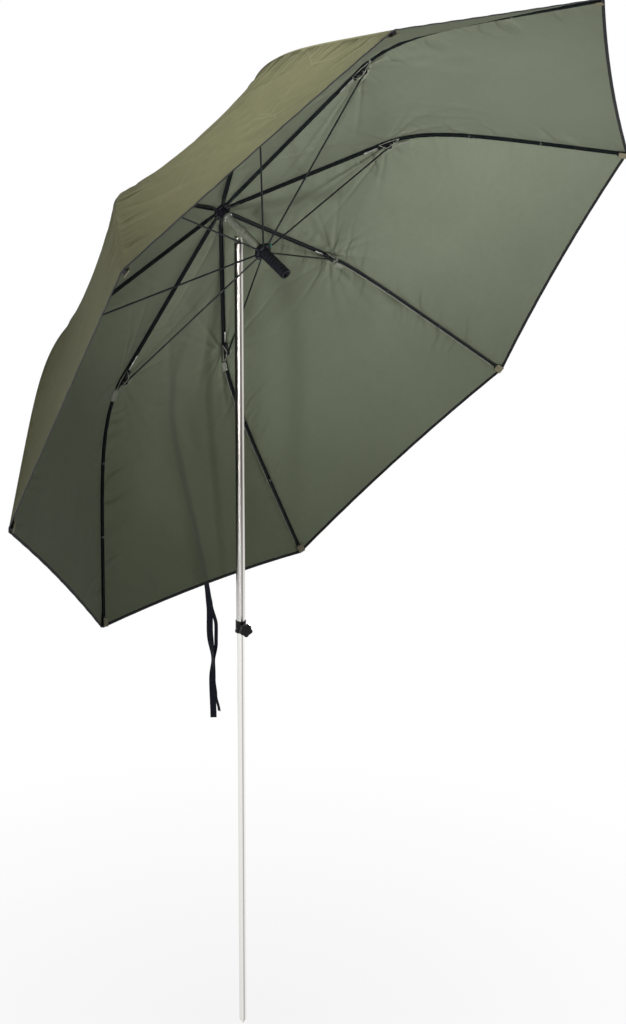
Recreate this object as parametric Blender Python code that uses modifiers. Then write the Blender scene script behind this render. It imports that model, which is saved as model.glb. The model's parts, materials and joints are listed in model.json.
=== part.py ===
"""A top-tilt fishing umbrella on a two-part pole, in metres, +Z up, with the spike's tip at the origin.

The canopy head is drawn upright, with its crown at the head frame's origin and its handle down,
and the head frame then leans back about the tilt pin. Each rib has a frame of its own at its
pivot in the crown: X runs outward along the rib, Y is the hinge axis and Z is up.
"""
import math

import bmesh
import bpy
from mathutils import Matrix, Vector

# General clearances
GAP = 0.0003
OVERRUN = 0.004
PIN_GAP = 0.0003

# Pole
SPIKE_LENGTH = 0.018
SPIKE_POINT_RADIUS = 0.0009
SPIKE_PLUG_LENGTH = 0.030
LOWER_TUBE_RADIUS = 0.0110
UPPER_TUBE_RADIUS = 0.0130
LOWER_TUBE_WALL = 0.0014
UPPER_TUBE_WALL = 0.0015
LOWER_TUBE_SHOWN = 1.2975
TUBE_OVERLAP = 0.1525
UPPER_TUBE_LENGTH = 1.145
BUSH_LENGTH = 0.020
BUSH_LIP = 0.0030

# Clamp collar, thumb screw and knob
COLLAR_HEIGHT = 0.036
COLLAR_WALL = 0.0022
COLLAR_FLOOR = 0.007
COLLAR_LIP = 0.0015
COLLAR_LIP_HEIGHT = 0.005
BOSS_RADIUS = 0.0085
BOSS_REACH = 0.0115
SCREW_RADIUS = 0.0030
KNOB_RADIUS = 0.0200
KNOB_LOBE_DEPTH = 0.0042
KNOB_THICKNESS = 0.0115
KNOB_HUB_RADIUS = 0.0075
KNOB_HUB_LENGTH = 0.006
KNOB_EDGE = 0.0022
KNOB_LOBES = 5
KNOB_BEARING = math.radians(-25.0)

# Tilt joint between pole and head
TILT = math.radians(59.6)
TILT_PIN_RADIUS = 0.0030
TILT_PIN_HEAD_RADIUS = 0.0055
TILT_PIN_HEAD_HEIGHT = 0.0035
TILT_PIN_OFFSET = 0.0240
TILT_PIN_DROP = 0.0890
TONGUE_THICKNESS = 0.0080
TONGUE_EYE_RADIUS = 0.0085
TONGUE_LENGTH = 0.0155
TONGUE_RISE = 0.0040
SHOULDER_HEIGHT = 0.012
SPIGOT_LENGTH = 0.035
LUG_THICKNESS = 0.0030
LUG_ROOT = 0.0095
SADDLE_WALL = 0.0022
SADDLE_HEIGHT = 0.019

# Centre shaft
SHAFT_RADIUS = 0.0110
SHAFT_WALL = 0.0012
SHAFT_LENGTH = 0.212

# Linkage: every rib arm is as long as its stretcher, and both pivot at one radius
RIB_COUNT = 8
FIRST_RIB = math.radians(22.5)
PIVOT_RADIUS = 0.0230
ARM_LENGTH = 0.5396
ARM_SLOPE = math.radians(9.6)
FOLD = math.radians(63.0)

# Crown
CROWN_RADIUS = 0.0275
CROWN_TOP = 0.0030
CROWN_BOTTOM = 0.0060
CROWN_NECK_WALL = 0.0045
CROWN_NECK_LENGTH = 0.016
CROWN_FLOOR = 0.0030
CROWN_EDGE = 0.0008
CROWN_SHOULDER = 0.0195
CROWN_SHOULDER_DROP = 0.0022
SLOT_WIDTH = 0.0056
SLOT_FLOOR_RADIUS = 0.0185
WIRE_RADIUS = 0.0008
WIRE_TUNNEL_RADIUS = 0.0012
CAP_RADIUS = 0.0300
CAP_HEIGHT = 0.0100
CAP_STEM_RADIUS = 0.0110
CAP_EDGE = 0.0016
CAP_BUTTON_RADIUS = 0.0060
CAP_BUTTON_HEIGHT = 0.0060

# Runner and grip
RUNNER_RADIUS = 0.0270
RUNNER_ABOVE = 0.0060
RUNNER_BELOW = 0.0075
RUNNER_NECK_RADIUS = 0.0165
RUNNER_NECK_HEIGHT = 0.008
RUNNER_FAIRING = 0.011
RUNNER_CORE_RADIUS = 0.0180
SLEEVE_WALL = 0.0020
GRIP_RADIUS = 0.0155
GRIP_LENGTH = 0.084
GRIP_RINGS = 7
GRIP_GROOVE = 0.0011
GRIP_LIP = 0.0006
GRIP_RING_SHARE = 0.62

# Ribs
RIB_WIDTH = 0.0080
RIB_HEIGHT = 0.0070
RIB_WALL = 0.0010
RIB_SLOPE = math.radians(8.0)
RIB_BEND = math.radians(36.6)
RIB_BEND_POWER = 5.0
RIB_OUTER_LENGTH = 0.706
RIB_START = 0.0120
TANG_THICKNESS = 0.0046
TANG_LENGTH = 0.036
EYE_RADIUS = 0.0032
INNER_STATIONS = 3
OUTER_STATIONS = 11
STATION_POWER = 1.5

# Rib tip shoes
SHOE_LENGTH = 0.026
SHOE_BEYOND = 0.006
SHOE_WALL = 0.0016
SHOE_EDGE = 0.0012

# Brackets on the ribs
BRACKET_INNER = 0.022
BRACKET_OUTER = 0.020
BRACKET_WIDTH = 0.0130
BRACKET_DEPTH = 0.0072
BRACKET_LIP = 0.0012
BELLY_SHARE = 0.6
CHEEK_RADIUS = 0.0050
RIVET_RADIUS = 0.0015
SLOT_ROOF = 0.0012

# Stretchers
STRETCHER_RADIUS = 0.0025
STRETCHER_EYE_RADIUS = 0.0038
STRETCHER_EYE_THICKNESS = 0.0048

# Canopy
FABRIC_THICKNESS = 0.0010
FABRIC_APEX_RADIUS = 0.0140
FABRIC_BEYOND = 0.0090
PANEL_HOLLOW = 0.022
RIM_HOLLOW = 0.012
CLOTH_STRIP = 0.0070
STRIP_SHARE = 0.70
INNER_ROWS = 4
GORE_COLUMNS = 3

# Tie straps, which lie on the panel between ribs 4 and 5 and hang from its rim
STRAP_WIDTH = 0.0160
TAPE_WIDTH = 0.0100
STRAP_THICKNESS = 0.0012
STRAP_RIB = 4
STRAP_FROM_SEAM = 0.0030
STRAP_START_RADIUS = 0.1050
STRAP_LIFT = 0.0016
TAPE_LIFT = 0.0017
STRAP_TAIL = 0.425
TAPE_TAIL = 0.413
STRAP_TAIL_DRIFT = 0.0100
TAIL_STATIONS = 12

# Sides of round pieces
ROUND_STEPS = 32
SMALL_STEPS = 14
WIRE_STEPS = 32
GRIP_STEPS = 20
ROD_STEPS = 8
EYE_STEPS = 10
SMOOTH_ANGLE = math.radians(32.0)

# Sizes that follow
UPPER_BORE = UPPER_TUBE_RADIUS - UPPER_TUBE_WALL
LOWER_BORE = LOWER_TUBE_RADIUS - LOWER_TUBE_WALL
LOWER_TUBE_TOP = SPIKE_LENGTH + LOWER_TUBE_SHOWN + TUBE_OVERLAP
COLLAR_BASE = SPIKE_LENGTH + LOWER_TUBE_SHOWN
UPPER_TUBE_BASE = COLLAR_BASE + COLLAR_FLOOR + GAP
UPPER_TUBE_TOP = UPPER_TUBE_BASE + UPPER_TUBE_LENGTH
PIVOT_HEIGHT = UPPER_TUBE_TOP + GAP + SHOULDER_HEIGHT + TONGUE_LENGTH
COLLAR_RADIUS = UPPER_TUBE_RADIUS + GAP + COLLAR_WALL
RIB_STEP = 2.0 * math.pi / RIB_COUNT
RUNNER_DROP = 2.0 * ARM_LENGTH * math.sin(ARM_SLOPE)
BRACKET_X = ARM_LENGTH * math.cos(ARM_SLOPE)
BRACKET_Z = -ARM_LENGTH * math.sin(ARM_SLOPE)
RIB_INNER_LENGTH = BRACKET_X / math.cos(RIB_SLOPE)
RIB_AT_BRACKET_Z = -BRACKET_X * math.tan(RIB_SLOPE)
RIB_LENGTH = RIB_INNER_LENGTH + RIB_OUTER_LENGTH
HALF_RIB = RIB_HEIGHT / 2.0
RUNNER_SLEEVE_BORE = SHAFT_RADIUS + GAP
SLEEVE_RADIUS = RUNNER_SLEEVE_BORE + SLEEVE_WALL
FABRIC_LIFT = HALF_RIB + GAP
CROWN_CLEAR = 2.0 * (CROWN_RADIUS - PIVOT_RADIUS)


def clear_scene():
    for obj in list(bpy.data.objects):
        bpy.data.objects.remove(obj, do_unlink=True)


def make_material(name, colour, roughness, metallic):
    material = bpy.data.materials.new(name)
    material.use_nodes = True
    shader = material.node_tree.nodes["Principled BSDF"]
    shader.inputs["Base Color"].default_value = (*colour, 1.0)
    shader.inputs["Roughness"].default_value = roughness
    shader.inputs["Metallic"].default_value = metallic
    return material


clear_scene()
PARTS = bpy.data.collections.new("fishing_umbrella")
CUTTERS = bpy.data.collections.new("cutters")
bpy.context.scene.collection.children.link(PARTS)
bpy.context.scene.collection.children.link(CUTTERS)

ALUMINIUM = make_material("anodised_aluminium", (0.80, 0.78, 0.75), 0.28, 1.0)
STEEL = make_material("zinc_steel", (0.70, 0.70, 0.70), 0.30, 1.0)
SHAFT_METAL = make_material("shaft_metal", (0.36, 0.36, 0.31), 0.40, 0.8)
BLACK_PLASTIC = make_material("black_plastic", (0.012, 0.013, 0.018), 0.40, 0.0)
BLACK_RUBBER = make_material("black_rubber", (0.014, 0.014, 0.020), 0.60, 0.0)
RIB_STEEL = make_material("black_rib_steel", (0.020, 0.024, 0.026), 0.35, 0.6)
CANOPY_CLOTH = make_material("olive_cloth", (0.17, 0.18, 0.12), 0.75, 0.0)
WEBBING = make_material("dark_webbing", (0.010, 0.012, 0.025), 0.85, 0.0)


# Shared modelling steps

def mesh_object(name, mesh, material=None, collection=PARTS):
    obj = bpy.data.objects.new(name, mesh)
    collection.objects.link(obj)
    if material is not None:
        mesh.materials.clear()
        mesh.materials.append(material)
    return obj


def evaluated_mesh(obj):
    bpy.context.view_layer.update()
    depsgraph = bpy.context.evaluated_depsgraph_get()
    return bpy.data.meshes.new_from_object(obj.evaluated_get(depsgraph))


def apply_modifiers(obj):
    mesh = evaluated_mesh(obj)
    obj.modifiers.clear()
    obj.data = mesh


def discard(obj):
    bpy.data.objects.remove(obj, do_unlink=True)


def boolean(obj, tool, operation):
    """Cut obj by tool, or join tool to it, and keep the result as obj's mesh."""
    tool.hide_render = True
    tool.display_type = "WIRE"
    modifier = obj.modifiers.new(operation.lower(), "BOOLEAN")
    modifier.operation = operation
    modifier.solver = "EXACT"
    modifier.object = tool
    apply_modifiers(obj)
    discard(tool)


def cut(obj, tool):
    boolean(obj, tool, "DIFFERENCE")


def join(obj, other):
    boolean(obj, other, "UNION")


def smooth(obj, angle=SMOOTH_ANGLE):
    obj.data.shade_smooth()
    obj.data.set_sharp_from_angle(angle=angle)


def edges_mesh(name, points, closed):
    mesh = bpy.data.meshes.new(name)
    count = len(points)
    links = [(i, i + 1) for i in range(count - 1)]
    if closed:
        links.append((count - 1, 0))
    mesh.from_pydata(points, links, [])
    return mesh


def turned(name, profile, material=None, steps=ROUND_STEPS, closed=False, collection=PARTS):
    """Turn a profile of (radius, height) pairs about Z. It runs down its outer side."""
    points = [(radius, 0.0, height) for radius, height in profile]
    obj = mesh_object(name, edges_mesh(name, points, closed), None, collection)
    screw = obj.modifiers.new("turn", "SCREW")
    screw.steps = steps
    screw.render_steps = steps
    screw.use_merge_vertices = True
    screw.merge_threshold = 0.00001
    screw.use_normal_calculate = False
    apply_modifiers(obj)
    if material is not None:
        obj.data.materials.clear()
        obj.data.materials.append(material)
    smooth(obj)
    return obj


def tube(name, outer, inner, low, high, material, steps=ROUND_STEPS):
    profile = [(outer, high), (outer, low), (inner, low), (inner, high)]
    return turned(name, profile, material, steps, closed=True)


def bar(name, radius, low, high, steps=SMALL_STEPS, material=None, collection=CUTTERS):
    profile = [(0.0, high), (radius, high), (radius, low), (0.0, low)]
    return turned(name, profile, material, steps, collection=collection)


def box(name, low, high, collection=CUTTERS):
    """An upright box between two corners."""
    mesh = bpy.data.meshes.new(name)
    shape = bmesh.new()
    bmesh.ops.create_cube(shape, size=1.0)
    size = [high[i] - low[i] for i in range(3)]
    middle = [(high[i] + low[i]) / 2.0 for i in range(3)]
    shape.transform(Matrix.Translation(middle) @ Matrix.Diagonal((*size, 1.0)))
    shape.to_mesh(mesh)
    shape.free()
    return mesh_object(name, mesh, None, collection)


def plate(name, outline, thickness, collection=CUTTERS):
    """A flat outline of (x, z) pairs, centred on Y = 0, as thick as stated."""
    curve = bpy.data.curves.new(name, "CURVE")
    curve.dimensions = "2D"
    curve.fill_mode = "BOTH"
    curve.extrude = thickness / 2.0
    spline = curve.splines.new("POLY")
    spline.points.add(len(outline) - 1)
    for point, (x, z) in zip(spline.points, outline):
        point.co = (x, z, 0.0, 1.0)
    spline.use_cyclic_u = True
    flat = bpy.data.objects.new(name, curve)
    collection.objects.link(flat)
    mesh = evaluated_mesh(flat)
    discard(flat)
    shape = bmesh.new()
    shape.from_mesh(mesh)
    bmesh.ops.remove_doubles(shape, verts=shape.verts, dist=0.000001)
    shape.transform(Matrix.Rotation(math.radians(90.0), 4, "X"))
    bmesh.ops.recalc_face_normals(shape, faces=shape.faces)
    shape.to_mesh(mesh)
    shape.free()
    return mesh_object(name, mesh, None, collection)


def arc(centre, radius, start, end, count):
    """Points on an arc between two angles in degrees, both ends included."""
    angles = [math.radians(start + (end - start) * i / count) for i in range(count + 1)]
    return [(centre[0] + radius * math.cos(a), centre[1] + radius * math.sin(a)) for a in angles]


def place(obj, parent, matrix):
    obj.parent = parent
    obj.matrix_parent_inverse = Matrix.Identity(4)
    obj.matrix_local = matrix


def frame_empty(name, parent, matrix):
    empty = bpy.data.objects.new(name, None)
    PARTS.objects.link(empty)
    empty.empty_display_size = PIVOT_RADIUS
    place(empty, parent, matrix)
    return empty


def cross_bar(name, radius, half_length, x=0.0, z=0.0, steps=SMALL_STEPS):
    """A round bar along Y through (x, z)."""
    obj = bar(name, radius, -half_length, half_length, steps)
    turn = Matrix.Translation((x, 0.0, z)) @ Matrix.Rotation(math.radians(90.0), 4, "X")
    obj.data.transform(turn)
    return obj


# Pole

def make_ground_spike():
    profile = [
        (0.0, SPIKE_LENGTH + SPIKE_PLUG_LENGTH),
        (LOWER_BORE - GAP, SPIKE_LENGTH + SPIKE_PLUG_LENGTH),
        (LOWER_BORE - GAP, SPIKE_LENGTH - GAP),
        (LOWER_TUBE_RADIUS, SPIKE_LENGTH - GAP),
        (SPIKE_POINT_RADIUS, 0.0),
        (0.0, 0.0),
    ]
    turned("ground_spike", profile, ALUMINIUM)


def make_lower_pole():
    tube("lower_pole", LOWER_TUBE_RADIUS, LOWER_BORE, SPIKE_LENGTH, LOWER_TUBE_TOP, ALUMINIUM)
    top = LOWER_TUBE_TOP + GAP + BUSH_LIP
    profile = [
        (0.0, top),
        (UPPER_BORE - GAP, top),
        (UPPER_BORE - GAP, LOWER_TUBE_TOP + GAP),
        (LOWER_BORE - GAP, LOWER_TUBE_TOP + GAP),
        (LOWER_BORE - GAP, LOWER_TUBE_TOP - BUSH_LENGTH),
        (0.0, LOWER_TUBE_TOP - BUSH_LENGTH),
    ]
    turned("guide_bush", profile, BLACK_PLASTIC)


def make_upper_pole():
    return tube(
        "upper_pole", UPPER_TUBE_RADIUS, UPPER_BORE, UPPER_TUBE_BASE, UPPER_TUBE_TOP, ALUMINIUM
    )


def make_pole_collar():
    base = COLLAR_BASE
    top = base + COLLAR_HEIGHT
    slide = LOWER_TUBE_RADIUS + GAP
    seat = UPPER_TUBE_RADIUS + GAP
    profile = [
        (COLLAR_RADIUS, top),
        (COLLAR_RADIUS, base + COLLAR_LIP_HEIGHT + COLLAR_LIP),
        (COLLAR_RADIUS + COLLAR_LIP, base + COLLAR_LIP_HEIGHT),
        (COLLAR_RADIUS + COLLAR_LIP, base),
        (slide, base),
        (slide, base + COLLAR_FLOOR),
        (seat, base + COLLAR_FLOOR),
        (seat, top),
    ]
    collar = turned("pole_collar", profile, BLACK_PLASTIC, closed=True)
    reach = COLLAR_RADIUS + BOSS_REACH
    boss = bar("boss", BOSS_RADIUS, COLLAR_RADIUS - COLLAR_WALL / 2.0, reach)
    hole = bar("boss_hole", SCREW_RADIUS + GAP, 0.0, reach + OVERRUN)
    for tool in (boss, hole):
        tool.data.transform(clamp_frame())
    join(collar, boss)
    cut(collar, hole)
    collar.data.materials.clear()
    collar.data.materials.append(BLACK_PLASTIC)
    smooth(collar)


def clamp_frame():
    """The thumb screw's axis as local Z, with its origin on the pole's axis."""
    height = COLLAR_BASE + COLLAR_HEIGHT / 2.0
    turn = Matrix.Rotation(KNOB_BEARING, 4, "Z") @ Matrix.Rotation(math.radians(90.0), 4, "Y")
    return Matrix.Translation((0.0, 0.0, height)) @ turn


def cut_screw_hole_in_tube(upper):
    hole = bar("tube_hole", SCREW_RADIUS + GAP, 0.0, UPPER_TUBE_RADIUS + OVERRUN)
    hole.data.transform(clamp_frame())
    cut(upper, hole)
    smooth(upper)


def make_clamp_knob():
    """A star knob, its hub and its screw, which bears on the lower tube."""
    seat = COLLAR_RADIUS + BOSS_REACH + GAP
    turns = KNOB_LOBES * 10
    outline = []
    for i in range(turns):
        angle = 2.0 * math.pi * i / turns
        wave = (1.0 - math.cos(KNOB_LOBES * angle)) / 2.0
        radius = KNOB_RADIUS - KNOB_LOBE_DEPTH * wave
        outline.append((radius * math.cos(angle), radius * math.sin(angle)))
    knob = plate("clamp_knob", outline, KNOB_THICKNESS, PARTS)
    upright = Matrix.Rotation(math.radians(-90.0), 4, "X")
    middle = seat + KNOB_HUB_LENGTH + KNOB_THICKNESS / 2.0
    knob.data.transform(Matrix.Translation((0.0, 0.0, middle)) @ upright)
    bevel = knob.modifiers.new("rounding", "BEVEL")
    bevel.width = KNOB_EDGE
    bevel.segments = 2
    bevel.limit_method = "ANGLE"
    apply_modifiers(knob)
    join(knob, bar("hub", KNOB_HUB_RADIUS, seat, middle, ROUND_STEPS))
    low = LOWER_TUBE_RADIUS + GAP
    bore_end = seat + KNOB_HUB_LENGTH
    cut(knob, bar("bore", SCREW_RADIUS + GAP, seat - OVERRUN, bore_end + GAP))
    knob.data.materials.clear()
    knob.data.materials.append(BLACK_PLASTIC)
    smooth(knob)
    screw = bar("clamp_screw", SCREW_RADIUS, low, bore_end, SMALL_STEPS, STEEL, PARTS)
    frame = frame_empty("clamp_axis", None, clamp_frame())
    place(knob, frame, Matrix.Identity(4))
    place(screw, frame, Matrix.Identity(4))


def make_pole_top_fitting():
    """A spigot and shoulder in the upper tube, with a flat tongue that the tilt pin passes through."""
    shoulder_top = UPPER_TUBE_TOP + GAP + SHOULDER_HEIGHT
    profile = [
        (0.0, shoulder_top),
        (UPPER_TUBE_RADIUS - GAP, shoulder_top),
        (UPPER_TUBE_RADIUS, shoulder_top - GAP),
        (UPPER_TUBE_RADIUS, UPPER_TUBE_TOP + GAP),
        (UPPER_BORE - GAP, UPPER_TUBE_TOP + GAP),
        (UPPER_BORE - GAP, UPPER_TUBE_TOP - SPIGOT_LENGTH),
        (0.0, UPPER_TUBE_TOP - SPIGOT_LENGTH),
    ]
    fitting = turned("pole_top_fitting", profile, ALUMINIUM)
    root = shoulder_top - SHOULDER_HEIGHT / 2.0
    flank = UPPER_TUBE_RADIUS - 2.0 * GAP
    eye = arc((0.0, PIVOT_HEIGHT), TONGUE_EYE_RADIUS, -10.0, 190.0, 14)
    outline = [(-flank, root), (flank, root), (flank, shoulder_top + TONGUE_RISE)] + eye
    outline.append((-flank, shoulder_top + TONGUE_RISE))
    join(fitting, plate("tongue", outline, TONGUE_THICKNESS))
    hole = cross_bar("hole", TILT_PIN_RADIUS + PIN_GAP, TONGUE_THICKNESS, 0.0, PIVOT_HEIGHT)
    cut(fitting, hole)
    fitting.data.materials.clear()
    fitting.data.materials.append(ALUMINIUM)
    smooth(fitting)


# Head frames

def head_matrix():
    """The crown's frame: leaned back by TILT about the tilt pin."""
    lean = Matrix.Rotation(-TILT, 4, "Y")
    to_pin = Matrix.Translation((TILT_PIN_OFFSET, 0.0, TILT_PIN_DROP))
    return Matrix.Translation((0.0, 0.0, PIVOT_HEIGHT)) @ lean @ to_pin


def rib_angle(number):
    return FIRST_RIB + RIB_STEP * (number - 1)


def rib_matrix(number):
    """Rib frame in the head frame: origin at the rib's pivot, X outward, Y the hinge axis."""
    turn = Matrix.Rotation(rib_angle(number), 4, "Z")
    return turn @ Matrix.Translation((PIVOT_RADIUS, 0.0, 0.0))


# Head pieces, drawn in the head frame

def slot_cutter(floor_radius, low, high, outer):
    """Radial slots of one width at every rib, as one cutter."""
    mesh = bpy.data.meshes.new("slots")
    shape = bmesh.new()
    for number in range(1, RIB_COUNT + 1):
        made = bmesh.ops.create_cube(shape, size=1.0)
        size = (outer - floor_radius, SLOT_WIDTH, high - low)
        middle = ((outer + floor_radius) / 2.0, 0.0, (high + low) / 2.0)
        local = Matrix.Translation(middle) @ Matrix.Diagonal((*size, 1.0))
        turn = Matrix.Rotation(rib_angle(number), 4, "Z")
        bmesh.ops.transform(shape, matrix=turn @ local, verts=made["verts"])
    shape.to_mesh(mesh)
    shape.free()
    return mesh_object("slots", mesh, None, CUTTERS)


def wire_ring(name, wire, collection, material=None):
    """A ring of round wire through the rib eyes."""
    sides = 6
    section = []
    for i in range(sides):
        angle = -2.0 * math.pi * i / sides
        section.append((PIVOT_RADIUS + wire * math.cos(angle), wire * math.sin(angle)))
    return turned(name, section, material, WIRE_STEPS, closed=True, collection=collection)


def make_crown_hub():
    bore = SHAFT_RADIUS + GAP
    neck = bore + CROWN_NECK_WALL
    neck_end = -CROWN_BOTTOM - CROWN_NECK_LENGTH
    profile = [
        (0.0, CROWN_TOP),
        (CROWN_SHOULDER, CROWN_TOP),
        (CROWN_RADIUS, CROWN_TOP - CROWN_SHOULDER_DROP),
        (CROWN_RADIUS, -CROWN_BOTTOM + CROWN_EDGE),
        (CROWN_RADIUS - CROWN_EDGE, -CROWN_BOTTOM),
        (neck, -CROWN_BOTTOM),
        (neck, neck_end),
        (bore, neck_end),
        (bore, CROWN_TOP - CROWN_FLOOR),
        (0.0, CROWN_TOP - CROWN_FLOOR),
    ]
    crown = turned("crown_hub", profile, BLACK_PLASTIC)
    high = CROWN_TOP + OVERRUN
    low = -CROWN_BOTTOM - GAP
    cut(crown, slot_cutter(SLOT_FLOOR_RADIUS, low, high, CROWN_RADIUS + OVERRUN))
    cut(crown, wire_ring("tunnel", WIRE_TUNNEL_RADIUS, CUTTERS))
    crown.data.materials.clear()
    crown.data.materials.append(BLACK_PLASTIC)
    smooth(crown)
    wire = wire_ring("crown_wire", WIRE_RADIUS, PARTS, STEEL)
    return crown, wire


def fabric_line_height(radius):
    """Height of the cloth's outer face near the crown, at a radius."""
    lift = (FABRIC_LIFT + FABRIC_THICKNESS) / math.cos(RIB_SLOPE)
    return lift - (radius - PIVOT_RADIUS) * math.tan(RIB_SLOPE)


def make_crown_cap():
    rim = fabric_line_height(CAP_RADIUS) + GAP
    stem_top = fabric_line_height(CAP_STEM_RADIUS) + GAP
    crest = stem_top + CAP_HEIGHT
    shoulder = CAP_RADIUS - 3.0 * CAP_EDGE
    profile = [
        (0.0, crest + CAP_BUTTON_HEIGHT),
        (CAP_BUTTON_RADIUS * 0.7, crest + CAP_BUTTON_HEIGHT * 0.85),
        (CAP_BUTTON_RADIUS, crest + CAP_BUTTON_HEIGHT * 0.5),
        (CAP_BUTTON_RADIUS, crest),
        (CAP_BUTTON_RADIUS + CAP_EDGE, crest - CAP_EDGE),
        ((CAP_BUTTON_RADIUS + shoulder) / 2.0, crest - 2.0 * CAP_EDGE),
        (shoulder, crest - 4.0 * CAP_EDGE),
        (CAP_RADIUS, rim + CAP_EDGE),
        (CAP_RADIUS, rim),
        (CAP_STEM_RADIUS, stem_top),
        (CAP_STEM_RADIUS, CROWN_TOP + GAP),
        (0.0, CROWN_TOP + GAP),
    ]
    return turned("crown_cap", profile, BLACK_PLASTIC)


def make_centre_shaft():
    top = CROWN_TOP - CROWN_FLOOR - GAP
    return tube(
        "centre_shaft", SHAFT_RADIUS, SHAFT_RADIUS - SHAFT_WALL, top - SHAFT_LENGTH, top, SHAFT_METAL
    )


def make_tilt_bracket():
    """A saddle round the shaft with two lugs, which hold the tilt pin on the pole's side."""
    bore = SHAFT_RADIUS + GAP
    ring = bore + SADDLE_WALL
    high = -TILT_PIN_DROP + SADDLE_HEIGHT / 2.0
    low = high - SADDLE_HEIGHT
    bracket = tube("tilt_bracket", ring, bore, low, high, SHAFT_METAL)
    inner = TONGUE_THICKNESS / 2.0 + GAP
    eye = arc((-TILT_PIN_OFFSET, -TILT_PIN_DROP), TONGUE_EYE_RADIUS, 90.0, 270.0, 12)
    root = -(bore + ring) / 2.0
    half = math.sqrt(ring * ring - (inner + LUG_THICKNESS) ** 2)
    outline = eye + [(-half / 2.0, -TILT_PIN_DROP - LUG_ROOT), (-half / 2.0, -TILT_PIN_DROP + LUG_ROOT)]
    for side in (-1.0, 1.0):
        lug = plate("lug", outline, LUG_THICKNESS)
        lug.data.transform(Matrix.Translation((0.0, side * (inner + LUG_THICKNESS / 2.0), 0.0)))
        join(bracket, lug)
    cut(bracket, bar("bore", bore, low - OVERRUN, high + OVERRUN, ROUND_STEPS))
    reach = inner + LUG_THICKNESS + OVERRUN
    cut(bracket, cross_bar("hole", TILT_PIN_RADIUS + PIN_GAP, reach, -TILT_PIN_OFFSET, -TILT_PIN_DROP))
    bracket.data.materials.clear()
    bracket.data.materials.append(SHAFT_METAL)
    smooth(bracket)
    return bracket


def make_tilt_pin():
    face = TONGUE_THICKNESS / 2.0 + GAP + LUG_THICKNESS + GAP
    end = face + TILT_PIN_HEAD_HEIGHT
    edge = TILT_PIN_HEAD_HEIGHT / 4.0
    profile = [
        (0.0, end),
        (TILT_PIN_HEAD_RADIUS - edge, end),
        (TILT_PIN_HEAD_RADIUS, end - edge),
        (TILT_PIN_HEAD_RADIUS, face),
        (TILT_PIN_RADIUS, face),
        (TILT_PIN_RADIUS, -face),
        (TILT_PIN_HEAD_RADIUS, -face),
        (TILT_PIN_HEAD_RADIUS, -end + edge),
        (TILT_PIN_HEAD_RADIUS - edge, -end),
        (0.0, -end),
    ]
    pin = turned("tilt_pin", profile, STEEL, SMALL_STEPS)
    pin.data.transform(Matrix.Rotation(math.radians(90.0), 4, "X"))
    return pin


def make_runner():
    """A slotted ring for the stretchers, with a sleeve that runs on the shaft inside the grip."""
    top = RUNNER_ABOVE
    bottom = -RUNNER_BELOW
    neck_top = top + RUNNER_NECK_HEIGHT
    fairing_end = bottom - RUNNER_FAIRING
    end = fairing_end - GRIP_LENGTH + GRIP_LIP
    edge = RUNNER_RADIUS - RUNNER_CORE_RADIUS
    profile = [
        (RUNNER_NECK_RADIUS, neck_top),
        (RUNNER_NECK_RADIUS, top),
        (RUNNER_RADIUS - edge / 3.0, top),
        (RUNNER_RADIUS, top - edge / 3.0),
        (RUNNER_RADIUS, bottom + edge / 3.0),
        (RUNNER_RADIUS - edge / 3.0, bottom),
        (RUNNER_CORE_RADIUS, bottom),
        (GRIP_RADIUS, fairing_end + GAP),
        (SLEEVE_RADIUS, fairing_end + GAP),
        (SLEEVE_RADIUS, end),
        (RUNNER_SLEEVE_BORE, end),
        (RUNNER_SLEEVE_BORE, neck_top),
    ]
    runner = turned("runner", profile, BLACK_PLASTIC, closed=True)
    reach = RUNNER_RADIUS + OVERRUN
    cut(runner, slot_cutter(SLOT_FLOOR_RADIUS, bottom - OVERRUN, top + OVERRUN, reach))
    runner.data.materials.clear()
    runner.data.materials.append(BLACK_PLASTIC)
    smooth(runner)
    return runner


def make_runner_grip():
    """A ribbed grip over the runner's sleeve, open at its lower end."""
    top = -RUNNER_BELOW - RUNNER_FAIRING
    bore = SLEEVE_RADIUS + GAP
    pitch = GRIP_LENGTH / (GRIP_RINGS + 1)
    profile = [(GRIP_RADIUS, top)]
    for ring in range(GRIP_RINGS):
        crest_end = top - pitch * (ring + GRIP_RING_SHARE)
        next_crest = top - pitch * (ring + 1)
        profile.append((GRIP_RADIUS, crest_end))
        profile.append((GRIP_RADIUS - GRIP_GROOVE, crest_end - GRIP_GROOVE))
        profile.append((GRIP_RADIUS - GRIP_GROOVE, next_crest + GRIP_GROOVE))
        profile.append((GRIP_RADIUS, next_crest))
    low = top - GRIP_LENGTH
    profile.append((GRIP_RADIUS, low + GRIP_LIP))
    profile.append((GRIP_RADIUS - GRIP_LIP, low))
    profile.append((bore, low))
    profile.append((bore, top))
    return turned("runner_grip", profile, BLACK_RUBBER, GRIP_STEPS, closed=True)


# Rib pieces, drawn in the rib frame

def rib_line(distance):
    """Point and downward slope on the rib's centre line, at a distance along it from the pivot."""
    if distance <= RIB_INNER_LENGTH:
        x = distance * math.cos(RIB_SLOPE)
        return x, -distance * math.sin(RIB_SLOPE), RIB_SLOPE
    x = BRACKET_X
    z = RIB_AT_BRACKET_Z
    steps = 48
    span = distance - RIB_INNER_LENGTH
    for i in range(steps):
        share = span * (i + 0.5) / steps / RIB_OUTER_LENGTH
        slope = rib_slope_at(share)
        x += math.cos(slope) * span / steps
        z -= math.sin(slope) * span / steps
    return x, z, rib_slope_at(span / RIB_OUTER_LENGTH)


def rib_slope_at(share):
    """The bracket bends the rib most, and it straightens towards its tip."""
    left = max(0.0, 1.0 - share)
    return RIB_SLOPE + RIB_BEND * (1.0 - left ** RIB_BEND_POWER)


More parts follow.
